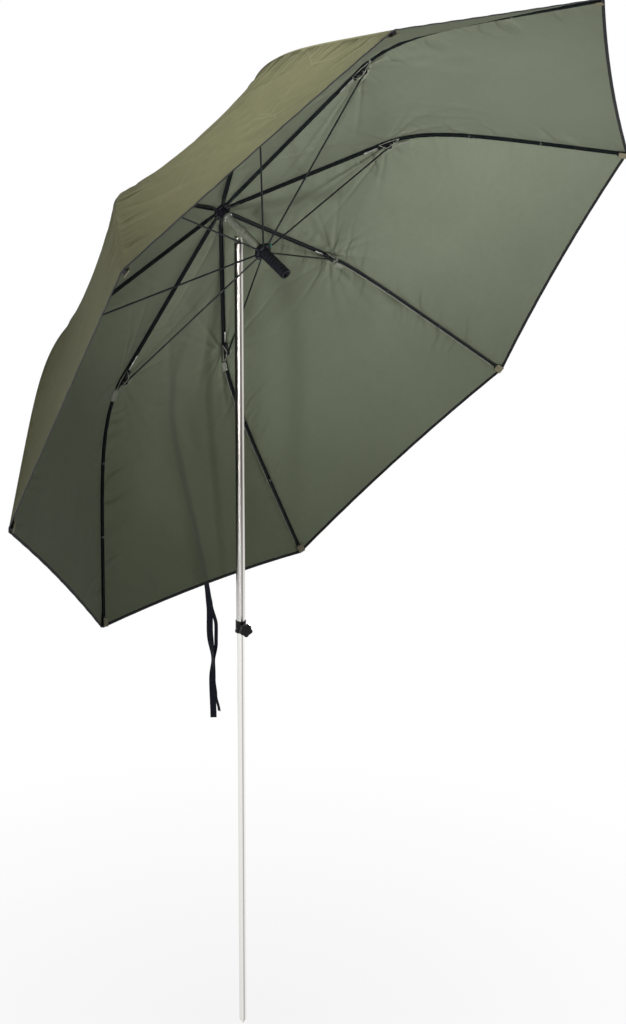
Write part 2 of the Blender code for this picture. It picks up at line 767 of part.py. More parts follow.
def on_rib(distance, rise, side=0.0):
    """A point raised square to the rib's line, towards the cloth."""
    x, z, slope = rib_line(distance)
    return Vector((x + rise * math.sin(slope), side, z + rise * math.cos(slope)))


def rib_frame_at(distance):
    """A frame on the rib's line: X along it outward, Z towards the cloth."""
    x, z, slope = rib_line(distance)
    return Matrix.Translation((x, 0.0, z)) @ Matrix.Rotation(slope, 4, "Y")


def outer_stations():
    """Distances from the bracket to the rib's end, closest together where the rib bends most."""
    shares = [(i / OUTER_STATIONS) ** STATION_POWER for i in range(OUTER_STATIONS + 1)]
    return [RIB_INNER_LENGTH + RIB_OUTER_LENGTH * share for share in shares]


def make_rib_mesh():
    """A fluted steel rib: a channel open to the inside, with a flat tang and eye at the crown."""
    half = RIB_WIDTH / 2.0
    inner = half - RIB_WALL
    web = HALF_RIB - RIB_WALL
    section = [
        (-half, HALF_RIB),
        (half, HALF_RIB),
        (half, -HALF_RIB),
        (inner, -HALF_RIB),
        (inner, web),
        (-inner, web),
        (-inner, -HALF_RIB),
        (-half, -HALF_RIB),
    ]
    stations = []
    for i in range(INNER_STATIONS):
        stations.append(RIB_START + (RIB_INNER_LENGTH - RIB_START) * i / INNER_STATIONS)
    stations += outer_stations()
    shape = bmesh.new()
    rings = [[shape.verts.new(on_rib(s, rise, y)) for y, rise in section] for s in stations]
    count = len(section)
    for near, far in zip(rings, rings[1:]):
        for i in range(count):
            j = (i + 1) % count
            shape.faces.new((near[i], near[j], far[j], far[i]))
    shape.faces.new(rings[0][::-1])
    shape.faces.new(rings[-1])
    bmesh.ops.recalc_face_normals(shape, faces=shape.faces)
    mesh = bpy.data.meshes.new("rib")
    shape.to_mesh(mesh)
    shape.free()
    rib = mesh_object("rib_source", mesh, RIB_STEEL)
    eye = arc((0.0, 0.0), EYE_RADIUS, 90.0, 270.0, 8)
    outline = eye + [(TANG_LENGTH, -EYE_RADIUS), (TANG_LENGTH, EYE_RADIUS)]
    tang = plate("tang", outline, TANG_THICKNESS)
    tang.data.transform(Matrix.Rotation(RIB_SLOPE, 4, "Y"))
    join(rib, tang)
    cut(rib, cross_bar("eye_hole", WIRE_TUNNEL_RADIUS, RIB_WIDTH, steps=ROD_STEPS))
    return finish_source(rib, RIB_STEEL)


def finish_source(obj, material):
    """Take the finished mesh off its working object."""
    mesh = obj.data
    mesh.materials.clear()
    mesh.materials.append(material)
    smooth(obj)
    discard(obj)
    return mesh


def make_shoe_mesh():
    """The shoe under a rib's end: a trough for the rib, closed and rounded at its tip."""
    half = RIB_WIDTH / 2.0 + GAP + SHOE_WALL
    low = -HALF_RIB - GAP - SHOE_WALL
    inner = SHOE_BEYOND - SHOE_LENGTH
    shoe = box("shoe", (inner, -half, low), (SHOE_BEYOND, half, HALF_RIB), PARTS)
    bevel = shoe.modifiers.new("rounding", "BEVEL")
    bevel.width = SHOE_EDGE
    bevel.segments = 2
    apply_modifiers(shoe)
    trough = RIB_WIDTH / 2.0 + GAP
    corner = (inner - OVERRUN, -trough, -HALF_RIB - GAP)
    cut(shoe, box("trough", corner, (GAP, trough, HALF_RIB + OVERRUN)))
    return finish_source(shoe, BLACK_PLASTIC)


def make_bracket_mesh():
    """A moulded bracket under the rib, with cheeks and a rivet for the stretcher's eye."""
    half = BRACKET_WIDTH / 2.0
    floor = -HALF_RIB - GAP
    belly = floor - BRACKET_DEPTH
    pivot = bracket_pivot()
    cheek = arc((pivot.x, pivot.z), CHEEK_RADIUS, 200.0, 340.0, 8)
    lip = floor - BRACKET_LIP
    outline = [(-BRACKET_INNER, lip), (-BRACKET_INNER * BELLY_SHARE, belly)] + cheek
    outline += [(BRACKET_OUTER * BELLY_SHARE, belly), (BRACKET_OUTER, lip)]
    outline += bracket_top()
    bracket = plate("bracket", outline, BRACKET_WIDTH, PARTS)
    seat = RIB_WIDTH / 2.0 + GAP
    trough = swept_box(RIB_INNER_LENGTH, BRACKET_INNER + OVERRUN, BRACKET_OUTER + OVERRUN, seat, floor)
    cut(bracket, trough)
    roof = pivot.z + STRETCHER_EYE_RADIUS + SLOT_ROOF
    reach = BRACKET_INNER + BRACKET_OUTER
    slot_low = pivot.z - CHEEK_RADIUS - OVERRUN
    slot = box("slot", (-reach, -SLOT_WIDTH / 2.0, slot_low), (reach, SLOT_WIDTH / 2.0, roof))
    cut(bracket, slot)
    join(bracket, cross_bar("rivet", RIVET_RADIUS, half - GAP, pivot.x, pivot.z, ROD_STEPS))
    return finish_source(bracket, BLACK_PLASTIC)


def bracket_top():
    """The bracket's upper edge, which follows the bend of the rib that it holds."""
    to_bracket = rib_frame_at(RIB_INNER_LENGTH).inverted()
    steps = 4
    edge = []
    for i in range(steps + 1):
        along = BRACKET_OUTER - (BRACKET_OUTER + BRACKET_INNER) * i / steps
        point = to_bracket @ on_rib(RIB_INNER_LENGTH + along, HALF_RIB - 2.0 * GAP)
        edge.append((point.x, point.z))
    return edge


def bracket_pivot():
    """The stretcher's outer pivot in the bracket's frame on the rib."""
    inverse = rib_frame_at(RIB_INNER_LENGTH).inverted()
    return inverse @ Vector((BRACKET_X, 0.0, BRACKET_Z))


def swept_box(centre, before, after, half, floor):
    """The room that the rib takes through a bracket, along the rib's own bend."""
    to_bracket = rib_frame_at(centre).inverted()
    stations = [centre - before, centre - before / 2.0, centre]
    stations += [centre + after * i / 4.0 for i in range(1, 5)]
    shape = bmesh.new()
    rings = []
    for s in stations:
        corners = ((-half, HALF_RIB + OVERRUN), (half, HALF_RIB + OVERRUN), (half, floor), (-half, floor))
        rings.append([shape.verts.new(to_bracket @ on_rib(s, rise, y)) for y, rise in corners])
    for near, far in zip(rings, rings[1:]):
        for i in range(4):
            j = (i + 1) % 4
            shape.faces.new((near[i], near[j], far[j], far[i]))
    shape.faces.new(rings[0][::-1])
    shape.faces.new(rings[-1])
    bmesh.ops.recalc_face_normals(shape, faces=shape.faces)
    mesh = bpy.data.meshes.new("trough")
    shape.to_mesh(mesh)
    shape.free()
    return mesh_object("trough", mesh, None, CUTTERS)


def make_stretcher_mesh():
    """A round rod with a flat eye at each end, drawn from its outer pivot towards the runner."""
    eye_half = STRETCHER_EYE_THICKNESS / 2.0
    inset = STRETCHER_EYE_RADIUS * 0.6
    rod = bar("stretcher", STRETCHER_RADIUS, inset, ARM_LENGTH - inset, ROD_STEPS, None, PARTS)
    rod.data.transform(Matrix.Rotation(math.radians(-90.0), 4, "Y"))
    for x in (0.0, -ARM_LENGTH):
        join(rod, cross_bar("eye", STRETCHER_EYE_RADIUS, eye_half, x, 0.0, EYE_STEPS))
    cut(rod, cross_bar("hole", RIVET_RADIUS + PIN_GAP, RIB_WIDTH, 0.0, 0.0, ROD_STEPS))
    cut(rod, cross_bar("hole", RIVET_RADIUS, RIB_WIDTH, -ARM_LENGTH, 0.0, ROD_STEPS))
    return finish_source(rod, RIB_STEEL)


# Canopy, drawn in the head frame

def cloth_rib_point(number, distance, lift, side=0.0):
    """A point of the cloth over a rib, in the head frame."""
    return rib_matrix(number) @ on_rib(distance, lift, side)


def strip_half(distance):
    """Half the width of the flat strip of cloth that lies on a rib."""
    room = (PIVOT_RADIUS + distance) * math.tan(RIB_STEP / 2.0)
    return min(CLOTH_STRIP, STRIP_SHARE * room)


def cloth_distances():
    """Distances along the rib of the rows of the cloth, the same as the rib's own stations."""
    step = (RIB_INNER_LENGTH - CROWN_CLEAR) / INNER_ROWS
    rows = [FABRIC_APEX_RADIUS - PIVOT_RADIUS]
    rows += [CROWN_CLEAR + step * i for i in range(INNER_ROWS)]
    return rows + outer_stations()[:-1] + [RIB_LENGTH + FABRIC_BEYOND]


def hollow_at(distance):
    """How far a panel's middle draws in from the straight line between two ribs."""
    share = max(0.0, distance - CROWN_CLEAR) / (RIB_LENGTH + FABRIC_BEYOND - CROWN_CLEAR)
    return PANEL_HOLLOW * math.sin(math.pi * min(1.0, share)) ** 0.8


def panel_point(number, neighbour, distance, share, lift):
    """A point of the panel between two ribs, share 0 at the first and 1 at the second."""
    side = strip_half(distance) if neighbour == wrap_rib(number + 1) else -strip_half(distance)
    a = cloth_rib_point(number, distance, lift, side)
    b = cloth_rib_point(neighbour, distance, lift, -side)
    middle = (a + b) / 2.0
    bow = 4.0 * share * (1.0 - share)
    slope = rib_line(max(0.0, distance))[2]
    outward = Vector((middle.x, middle.y, 0.0)).normalized()
    inward = -(outward * math.sin(slope) + Vector((0.0, 0.0, 1.0)) * math.cos(slope))
    point = a.lerp(b, share) + inward * hollow_at(distance) * bow
    rim_share = max(0.0, (distance - RIB_INNER_LENGTH) / RIB_OUTER_LENGTH)
    along = outward * math.cos(slope) - Vector((0.0, 0.0, 1.0)) * math.sin(slope)
    return point - along * RIM_HOLLOW * bow * rim_share ** 4


def wrap_rib(number):
    return (number - 1) % RIB_COUNT + 1


def gore_row(number, distance, lift):
    """A row of points across one gore, from seam to seam."""
    row = []
    shares = [i / GORE_COLUMNS / 2.0 for i in range(GORE_COLUMNS + 1)]
    for step in (-1, 1):
        neighbour = wrap_rib(number + step)
        points = [panel_point(number, neighbour, distance, s, lift) for s in shares]
        points[-1] = points[-1] + seam_setback(number, neighbour)
        row += points if step > 0 else points[::-1]
    return row


def make_gore(number):
    """The cloth over one rib, out to the middle of the panel on each side, as a thin shell."""
    shape = bmesh.new()
    rows = []
    for distance in cloth_distances():
        row = gore_row(number, distance, FABRIC_LIFT)
        rows.append([shape.verts.new(point) for point in row])
    for near, far in zip(rows, rows[1:]):
        for i in range(len(near) - 1):
            shape.faces.new((near[i], far[i], far[i + 1], near[i + 1]))
    bmesh.ops.recalc_face_normals(shape, faces=shape.faces)
    if sum((f.normal.z for f in shape.faces)) < 0.0:
        bmesh.ops.reverse_faces(shape, faces=shape.faces)
    mesh = bpy.data.meshes.new("canopy_gore")
    shape.to_mesh(mesh)
    shape.free()
    gore = mesh_object("canopy_gore_%d" % number, mesh, CANOPY_CLOTH)
    shell = gore.modifiers.new("cloth", "SOLIDIFY")
    shell.thickness = FABRIC_THICKNESS
    shell.offset = 1.0
    apply_modifiers(gore)
    gore.data.materials.clear()
    gore.data.materials.append(CANOPY_CLOTH)
    smooth(gore, math.radians(20.0))
    return gore


def seam_setback(number, neighbour):
    """Half a gap, square to the plane between two ribs."""
    towards = rib_matrix(number).translation - rib_matrix(neighbour).translation
    return towards.normalized() * GAP / 2.0


def along_row(row, length):
    """The point at a length along a row, counted from its last point."""
    points = row[::-1]
    for near, far in zip(points, points[1:]):
        step = (far - near).length
        if length <= step:
            return near.lerp(far, length / step)
        length -= step
    return points[-1]


def strap_edges(distance, from_seam, width, lift):
    """The two edges of a strap on the cloth, between the rows that its place falls in."""
    rows = cloth_distances()
    index = max(i for i in range(len(rows) - 1) if rows[i] <= distance)
    share = (distance - rows[index]) / (rows[index + 1] - rows[index])
    near = gore_row(STRAP_RIB, rows[index], lift)
    far = gore_row(STRAP_RIB, rows[index + 1], lift)
    places = (from_seam, from_seam + width)
    return [along_row(near, s).lerp(along_row(far, s), share) for s in places]


def make_strap(name, width, lift_from_cloth, tail, drift):
    """A flat strap along the outside of the canopy, which hangs free below the rim."""
    lift = FABRIC_LIFT + FABRIC_THICKNESS + lift_from_cloth
    from_seam = STRAP_FROM_SEAM + (STRAP_WIDTH - width) / 2.0
    start = STRAP_START_RADIUS - PIVOT_RADIUS
    distances = [start] + [d for d in cloth_distances() if d > start]
    edges = [strap_edges(distance, from_seam, width, lift) for distance in distances]
    centres = [(left + right) / 2.0 for left, right in edges]
    across = (edges[-1][1] - edges[-1][0]).normalized()
    leave = (centres[-1] - centres[-2]).normalized()
    down = head_matrix().to_3x3().inverted() @ Vector((0.0, 0.0, -1.0))
    point = centres[-1]
    for i in range(1, TAIL_STATIONS + 1):
        share = i / TAIL_STATIONS
        blend = min(1.0, 2.2 * share)
        heading = (leave * (1.0 - blend) + down * blend).normalized()
        sway = across * drift * math.pi * math.cos(math.pi * share) / tail
        point = point + (heading + sway).normalized() * tail / TAIL_STATIONS
        edges.append((point - across * width / 2.0, point + across * width / 2.0))
    shape = bmesh.new()
    pairs = [(shape.verts.new(left), shape.verts.new(right)) for left, right in edges]
    for near, far in zip(pairs, pairs[1:]):
        shape.faces.new((near[0], far[0], far[1], near[1]))
    bmesh.ops.recalc_face_normals(shape, faces=shape.faces)
    if sum((f.normal.z for f in shape.faces)) < 0.0:
        bmesh.ops.reverse_faces(shape, faces=shape.faces)
    mesh = bpy.data.meshes.new(name)
    shape.to_mesh(mesh)
    shape.free()
    strap = mesh_object(name, mesh, WEBBING)
    band = strap.modifiers.new("webbing", "SOLIDIFY")
    band.thickness = STRAP_THICKNESS
    band.offset = 1.0
    apply_modifiers(strap)
    strap.data.materials.clear()
    strap.data.materials.append(WEBBING)
    smooth(strap)
    return strap


# Assembly

def build_pole():
    make_ground_spike()
    make_lower_pole()
    upper = make_upper_pole()
    make_pole_collar()
    cut_screw_hole_in_tube(upper)
    make_clamp_knob()
    make_pole_top_fitting()


def build_head():
    tilt_axis = frame_empty("tilt_axis", None, Matrix.Translation((0.0, 0.0, PIVOT_HEIGHT)))
    to_crown = Matrix.Translation((0.0, 0.0, -PIVOT_HEIGHT)) @ head_matrix()
    head = frame_empty("head_frame", tilt_axis, to_crown)
    for piece in (*make_crown_hub(), make_crown_cap(), make_centre_shaft(), make_tilt_bracket()):
        place(piece, head, Matrix.Identity(4))
    pin_place = Matrix.Translation((-TILT_PIN_OFFSET, 0.0, -TILT_PIN_DROP))
    place(make_tilt_pin(), head, pin_place)
    runner_place = Matrix.Translation((0.0, 0.0, -RUNNER_DROP))
    place(make_runner(), head, runner_place)
    place(make_runner_grip(), head, runner_place)
    build_ribs(head)
    for number in range(1, RIB_COUNT + 1):
        hang_on_rib(make_gore(number), head, number)
    first_lift = STRAP_LIFT
    second_lift = STRAP_LIFT + TAPE_LIFT
    strap = make_strap("tie_strap", STRAP_WIDTH, first_lift, STRAP_TAIL, -STRAP_TAIL_DRIFT)
    tape = make_strap("tie_tape", TAPE_WIDTH, second_lift, TAPE_TAIL, STRAP_TAIL_DRIFT)
    hang_on_rib(strap, head, STRAP_RIB)
    hang_on_rib(tape, head, STRAP_RIB)


def build_ribs(head):
    rib_mesh = make_rib_mesh()
    shoe_mesh = make_shoe_mesh()
    bracket_mesh = make_bracket_mesh()
    stretcher_mesh = make_stretcher_mesh()
    lean = Matrix.Rotation(-ARM_SLOPE, 4, "Y")
    for number in range(1, RIB_COUNT + 1):
        axis = frame_empty("rib_axis_%d" % number, head, rib_matrix(number))
        rib = mesh_object("rib_%d" % number, rib_mesh)
        place(rib, axis, Matrix.Identity(4))
        shoe = mesh_object("rib_tip_%d" % number, shoe_mesh)
        place(shoe, axis, rib_frame_at(RIB_LENGTH))
        bracket = mesh_object("rib_bracket_%d" % number, bracket_mesh)
        place(bracket, axis, rib_frame_at(RIB_INNER_LENGTH))
        stretcher = mesh_object("stretcher_%d" % number, stretcher_mesh)
        place(stretcher, axis, Matrix.Translation((BRACKET_X, 0.0, BRACKET_Z)) @ lean)


def hang_on_rib(obj, head, number):
    """Move a piece drawn in the head frame into its rib's frame, where it stands."""
    to_rib = rib_matrix(number)
    obj.data.transform(to_rib.inverted())
    place(obj, head, to_rib)


build_pole()
build_head()
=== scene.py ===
"""Dressed scene of the fishing umbrella: materials, cloth, straps, trim, light and camera."""

import json
import math

import bmesh
import bpy
import numpy as np
from mathutils import Matrix, Vector


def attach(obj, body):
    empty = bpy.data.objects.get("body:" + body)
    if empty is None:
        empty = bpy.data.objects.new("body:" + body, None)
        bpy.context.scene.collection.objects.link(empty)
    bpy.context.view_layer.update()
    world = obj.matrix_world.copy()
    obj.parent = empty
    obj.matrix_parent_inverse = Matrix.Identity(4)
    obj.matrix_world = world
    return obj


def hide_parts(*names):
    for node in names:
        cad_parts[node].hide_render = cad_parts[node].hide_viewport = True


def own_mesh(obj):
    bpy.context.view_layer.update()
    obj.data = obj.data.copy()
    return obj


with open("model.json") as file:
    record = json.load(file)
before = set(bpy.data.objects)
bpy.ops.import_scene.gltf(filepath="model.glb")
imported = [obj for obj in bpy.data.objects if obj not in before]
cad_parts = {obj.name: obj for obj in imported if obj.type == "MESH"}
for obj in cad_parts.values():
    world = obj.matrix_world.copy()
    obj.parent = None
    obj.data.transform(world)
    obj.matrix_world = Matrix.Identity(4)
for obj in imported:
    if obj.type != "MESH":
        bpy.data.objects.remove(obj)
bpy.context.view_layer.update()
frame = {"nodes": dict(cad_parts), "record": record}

# Sizes of the frame's pieces, in metres, as the model states them
GAP = 0.0003
TILT = math.radians(59.6)
PIN_OFFSET = 0.0240
PIN_DROP = 0.0890
PIVOT_HEIGHT = 2.4956
PIVOT_RADIUS = 0.0230
ARM_LENGTH = 0.5396
ARM_SLOPE = math.radians(9.6)
RIB_COUNT = 8
RIB_STEP = math.radians(45.0)
FIRST_RIB = math.radians(22.5)
RIB_SLOPE = math.radians(8.0)
RIB_BEND = math.radians(36.6)
RIB_BEND_POWER = 5.0
RIB_OUTER = 0.706
RIB_HALF = 0.0035
CROWN_CLEAR = 0.0090
CROWN_NECK_END = 0.0220
SHAFT_RADIUS = 0.0110
CLOTH_START = -0.0090
CLOTH_BEYOND = 0.0090
CLOTH_STRIP = 0.0070
CLOTH_STRIP_SHARE = 0.70
CLOTH_HALF = 0.0004
PANEL_HOLLOW = 0.022
PANEL_HOLLOW_POWER = 0.8
RIM_HOLLOW = 0.012
RIM_HOLLOW_POWER = 4
COLLAR_LOW = 1.3155
COLLAR_HIGH = 1.3515

# What follows from them
BRACKET_X = ARM_LENGTH * math.cos(ARM_SLOPE)
BRACKET_DROP = ARM_LENGTH * math.sin(ARM_SLOPE)
RUNNER_DROP = 2.0 * BRACKET_DROP
RIB_INNER = BRACKET_X / math.cos(RIB_SLOPE)
RIB_LENGTH = RIB_INNER + RIB_OUTER
CLOTH_END = RIB_LENGTH + CLOTH_BEYOND
CLOTH_LIFT = RIB_HALF + GAP + CLOTH_HALF
RIB_NUMBERS = range(1, RIB_COUNT + 1)


# Frames

def head_frame():
    """The crown's frame: the head leans about its pin at the top of the pole."""
    to_pin = Matrix.Translation((PIN_OFFSET, 0.0, PIN_DROP))
    return Matrix.Translation((0.0, 0.0, PIVOT_HEIGHT)) @ Matrix.Rotation(-TILT, 4, "Y") @ to_pin


HEAD = head_frame()


def rib_world(number):
    """A rib's own frame, with its origin on the hinge at the crown."""
    turn = Matrix.Rotation(FIRST_RIB + RIB_STEP * (number - 1), 4, "Z")
    return HEAD @ turn @ Matrix.Translation((PIVOT_RADIUS, 0.0, 0.0))


RIB_FRAMES = {number: np.array(rib_world(number), float) for number in RIB_NUMBERS}
CROWN = np.array(HEAD.translation, float)
HANDLE_AXIS = np.array(HEAD.to_3x3() @ Vector((0.0, 0.0, -1.0)), float)

# How far the table of a rib's line goes past its hinge and the cloth's edge, and how many points it has
TABLE_BEFORE = 0.03
TABLE_BEYOND = 0.05
TABLE_POINTS = 1600


def make_rib_table():
    """Distance, x, z and slope along a rib's centre line, from the inside of the crown to past its tip."""
    distance = np.linspace(-TABLE_BEFORE, CLOTH_END + TABLE_BEYOND, TABLE_POINTS)
    share = np.clip((distance - RIB_INNER) / RIB_OUTER, 0.0, 1.0)
    slope = RIB_SLOPE + RIB_BEND * (1.0 - (1.0 - share) ** RIB_BEND_POWER)
    step = np.diff(distance)
    middle = (slope[1:] + slope[:-1]) / 2.0
    x = np.concatenate([[0.0], np.cumsum(np.cos(middle) * step)])
    z = np.concatenate([[0.0], -np.cumsum(np.sin(middle) * step)])
    return distance, x - np.interp(0.0, distance, x), z - np.interp(0.0, distance, z), slope


RIB_TABLE = make_rib_table()


def on_rib(number, distance, rise, side=0.0):
    """World points beside rib number: rise is square to its line, side runs along its hinge axis."""
    s, x, z, slope = RIB_TABLE
    distance, rise, side = np.broadcast_arrays(distance, rise, side)
    angle = np.interp(distance, s, slope)
    local = np.stack([
        np.interp(distance, s, x) + rise * np.sin(angle),
        side,
        np.interp(distance, s, z) + rise * np.cos(angle),
    ], -1)
    matrix = RIB_FRAMES[number]
    return local @ matrix[:3, :3].T + matrix[:3, 3]


def wrapped(number):
    """The rib's number after counting on past the last one or back past the first."""
    return (number - 1) % RIB_COUNT + 1


def unit(vectors):
    return vectors / np.linalg.norm(vectors, axis=-1, keepdims=True)


def rising(value, start, length):
    """0 up to start, and 1 from a length further."""
    return np.clip((value - start) / length, 0.0, 1.0)


def falling(value, end, length):
    """1 up to a length before end, and 0 from end."""
    return np.clip((end - value) / length, 0.0, 1.0)


def smooth(share):
    return share * share * (3.0 - 2.0 * share)


# Noise, the same in every run

HASH_TURNS = (127.1, 311.7, 74.7)
HASH_GAIN = 43758.5453


def lattice(ix, iy, seed):
    """A value from 0 to 1 for each whole pair, always the same for one seed."""
    value = np.sin(ix * HASH_TURNS[0] + iy * HASH_TURNS[1] + seed * HASH_TURNS[2]) * HASH_GAIN
    return value - np.floor(value)


def noise(x, y, seed):
    """Smooth value noise from -1 to 1."""
    ix, iy = np.floor(x), np.floor(y)
    fx, fy = smooth(x - ix), smooth(y - iy)
    low = lattice(ix, iy, seed) * (1.0 - fx) + lattice(ix + 1.0, iy, seed) * fx
    high = lattice(ix, iy + 1.0, seed) * (1.0 - fx) + lattice(ix + 1.0, iy + 1.0, seed) * fx
    return 2.0 * (low * (1.0 - fy) + high * fy) - 1.0


# Puckers beside the seams, lengths in metres. They lean to each side, wander, and come in groups.
PLEAT_LEAN = (0.55, -0.35)
PLEAT_WANDER = {"size": 0.010, "along": 0.050, "across": 0.040, "seed": 90}
PLEAT_GROUP = {"least": 0.45, "gain": 0.55, "shift": 0.35, "along": 0.075, "seed": 79}
PLEAT_KINDS = (
    {"depth": 0.0062, "reach": 0.024, "gain": 1.7, "along": 0.0100, "shift": 0.2, "seed": 71},
    {"depth": 0.0100, "reach": 0.052, "gain": 1.6, "along": 0.0230, "shift": 0.4, "seed": 75},
)
PLEAT_NEAR_BRACKET = 0.17
PLEAT_OUTSIDE = {"strength": 0.85, "start": 0.50}
PLEAT_INSIDE = {"strength": 0.35, "start": 0.10}
PLEAT_EASE = 0.12
PLEAT_SEAM = 0.009
PLEAT_END_POWER = 1.2


def pleats(distance, reach, rib, side):
    """Short uneven puckers that run from a rib's seam into the panel, in groups with plain cloth between."""
    serial = 2 * rib + side
    wander, group = PLEAT_WANDER, PLEAT_GROUP
    along = distance - PLEAT_LEAN[side] * reach
    along = along + wander["size"] * noise(distance / wander["along"], reach / wander["across"],
                                           wander["seed"] + serial)
    grouped = noise(distance / group["along"], 0.0 * distance, group["seed"] + serial)
    grouped = group["least"] + group["gain"] * np.clip(grouped + group["shift"], 0.0, 1.0)
    near = np.exp(-((distance - RIB_INNER) / PLEAT_NEAR_BRACKET) ** 2)
    outer = PLEAT_OUTSIDE["strength"] * rising(distance, PLEAT_OUTSIDE["start"], PLEAT_EASE)
    outer = outer * falling(distance, CLOTH_END, PLEAT_EASE)
    inner = PLEAT_INSIDE["strength"] * rising(distance, PLEAT_INSIDE["start"], PLEAT_EASE)
    strength = np.maximum(np.maximum(outer, inner), near) * grouped
    start = 1.0 - np.exp(-reach / PLEAT_SEAM)
    total = 0.0
    for kind in PLEAT_KINDS:
        ridges = noise(along / kind["along"], kind["shift"] * rib + 0.0 * along, kind["seed"] + serial)
        ridges = np.clip(kind["gain"] * ridges, 0.0, 1.0)
        end = np.exp(-(reach / kind["reach"]) ** PLEAT_END_POWER)
        total = total + kind["depth"] * ridges * (start * end)
    return strength * total


# Slack of the panels: depth, period along and across, shift from panel to panel, and seed
SLACK = ((0.0042, 0.34, 0.30, 3.1, 11), (0.0012, 0.15, 0.11, 1.7, 31))
SLACK_RIM = 0.30
SLACK_RIM_POWER = 0.8
# Long creases: depth, period along and across, slant, and seed. Noise holds them to some places.
CREASES = ((0.0030, 0.52, 0.13, 0.30, 57), (0.0024, 0.40, 0.10, -0.42, 63))
CREASE_SHIFT = 5.3
CREASE_NARROW = 1.6
CREASE_POWER = 6
CREASE_HELD = {"along": 0.25, "across": 0.20, "shift": 0.3, "seed": 20}
CREASE_RIM = 0.08
# Tension folds that fan out from a bracket: angle from the rib, in radians, and strength
TENSION_RAYS = ((0.34, 1.0), (0.74, 0.7), (1.20, 0.5), (2.10, 0.7), (2.62, 0.9))
TENSION_DEPTH = 0.0050
TENSION_STRAY = 0.12
TENSION_STRAY_TURNS = (7.0, 3.0, 5.0)
TENSION_WIDTH = 0.035
TENSION_WIDTH_NEAR = 0.004
TENSION_START = 0.03
TENSION_REACH = 0.15
# Ripple of the hem
RIPPLE_DEPTH = 0.0005
RIPPLE_PERIOD = 0.083
RIPPLE_SHIFT = 2.0
RIPPLE_SEAM_RISE = 3.0
HEM_EASE = 0.05
# Room that the frame leaves inside the cloth, and plain cloth beside seams and crown
INWARD_ROOM = 0.0015
INWARD_ROOM_SLOPE = 0.22
SEAM_EASE = 0.006
CROWN_PLAIN = 0.02
CROWN_EASE = 0.06
NOT_ZERO = 1e-6


def tension(away, reach, rib, side):
    """Strength of the folds that fan out from a bracket, away along the rib and at reach from its seam."""
    radius = np.sqrt(away ** 2 + reach ** 2) + NOT_ZERO
    angle = np.arctan2(reach, away)
    by_rib, by_side, by_turn = TENSION_STRAY_TURNS
    ray = np.zeros_like(radius)
    for turn, size in TENSION_RAYS:
        turn = turn + TENSION_STRAY * math.sin(by_rib * rib + by_side * side + by_turn * turn)
        ray += size * np.exp(-((angle - turn) / (TENSION_WIDTH + TENSION_WIDTH_NEAR / radius)) ** 2)
    return TENSION_DEPTH * ray * np.clip(radius / TENSION_START, 0.0, 1.0) * np.exp(-radius / TENSION_REACH)


def cloth_folds(panel, distance, share, width):
    """How far the cloth stands out from its plain surface: slack, creases, puckers and tension folds."""
    bow = 4.0 * share * (1.0 - share)
    across = (share - 0.5) * width
    taut = falling(distance, CLOTH_END, SLACK_RIM) ** SLACK_RIM_POWER
    out = np.zeros_like(bow)
    for depth, long, wide, shift, seed in SLACK:
        out += depth * bow * taut * noise(distance / long + shift * panel, across / wide, seed + panel)
    for depth, long, wide, slant, seed in CREASES:
        run = noise(distance / long + CREASE_SHIFT * panel, (across + slant * distance) / wide, seed + panel)
        crease = np.clip(1.0 - CREASE_NARROW * np.abs(run), 0.0, 1.0) ** CREASE_POWER
        held = noise(distance / CREASE_HELD["along"], across / CREASE_HELD["across"],
                     seed + CREASE_HELD["seed"] + panel)
        held = np.clip(held + CREASE_HELD["shift"], 0.0, 1.0)
        out -= depth * bow ** 0.5 * crease * held * falling(distance, CLOTH_END, CREASE_RIM)
    for side in (0, 1):
        rib = wrapped(panel + side)
        reach = width * (share if side == 0 else 1.0 - share)
        out -= pleats(distance, reach, rib, side)
        out -= tension(distance - RIB_INNER, reach, rib, side)
    hem = rising(distance, CLOTH_END - HEM_EASE, HEM_EASE)
    ripple = np.sin(across * 2.0 * math.pi / RIPPLE_PERIOD + RIPPLE_SHIFT * panel)
    out += RIPPLE_DEPTH * hem * np.minimum(1.0, bow * RIPPLE_SEAM_RISE) * ripple
    edge = np.minimum(share, 1.0 - share) * width
    out *= 1.0 - np.exp(-edge / SEAM_EASE)
    room = INWARD_ROOM + INWARD_ROOM_SLOPE * edge
    out = np.where(out < 0.0, -room * np.tanh(-out / room), out)
    return out * rising(distance, CROWN_PLAIN, CROWN_EASE)


# The cloth's surface

LEAST_ROOM = 0.001


def strip_half(distance):
    """Half the width of the flat strip on each rib, narrower where the ribs come together."""
    room = (PIVOT_RADIUS + distance) * math.tan(RIB_STEP / 2.0)
    return np.minimum(CLOTH_STRIP, CLOTH_STRIP_SHARE * np.maximum(room, LEAST_ROOM))


def panel_sides(panel, distance, lift):
    """World points where a panel leaves the strip on its first rib and where it meets that on the next."""
    strip = strip_half(distance)
    return on_rib(panel, distance, lift, strip), on_rib(wrapped(panel + 1), distance, lift, -strip)


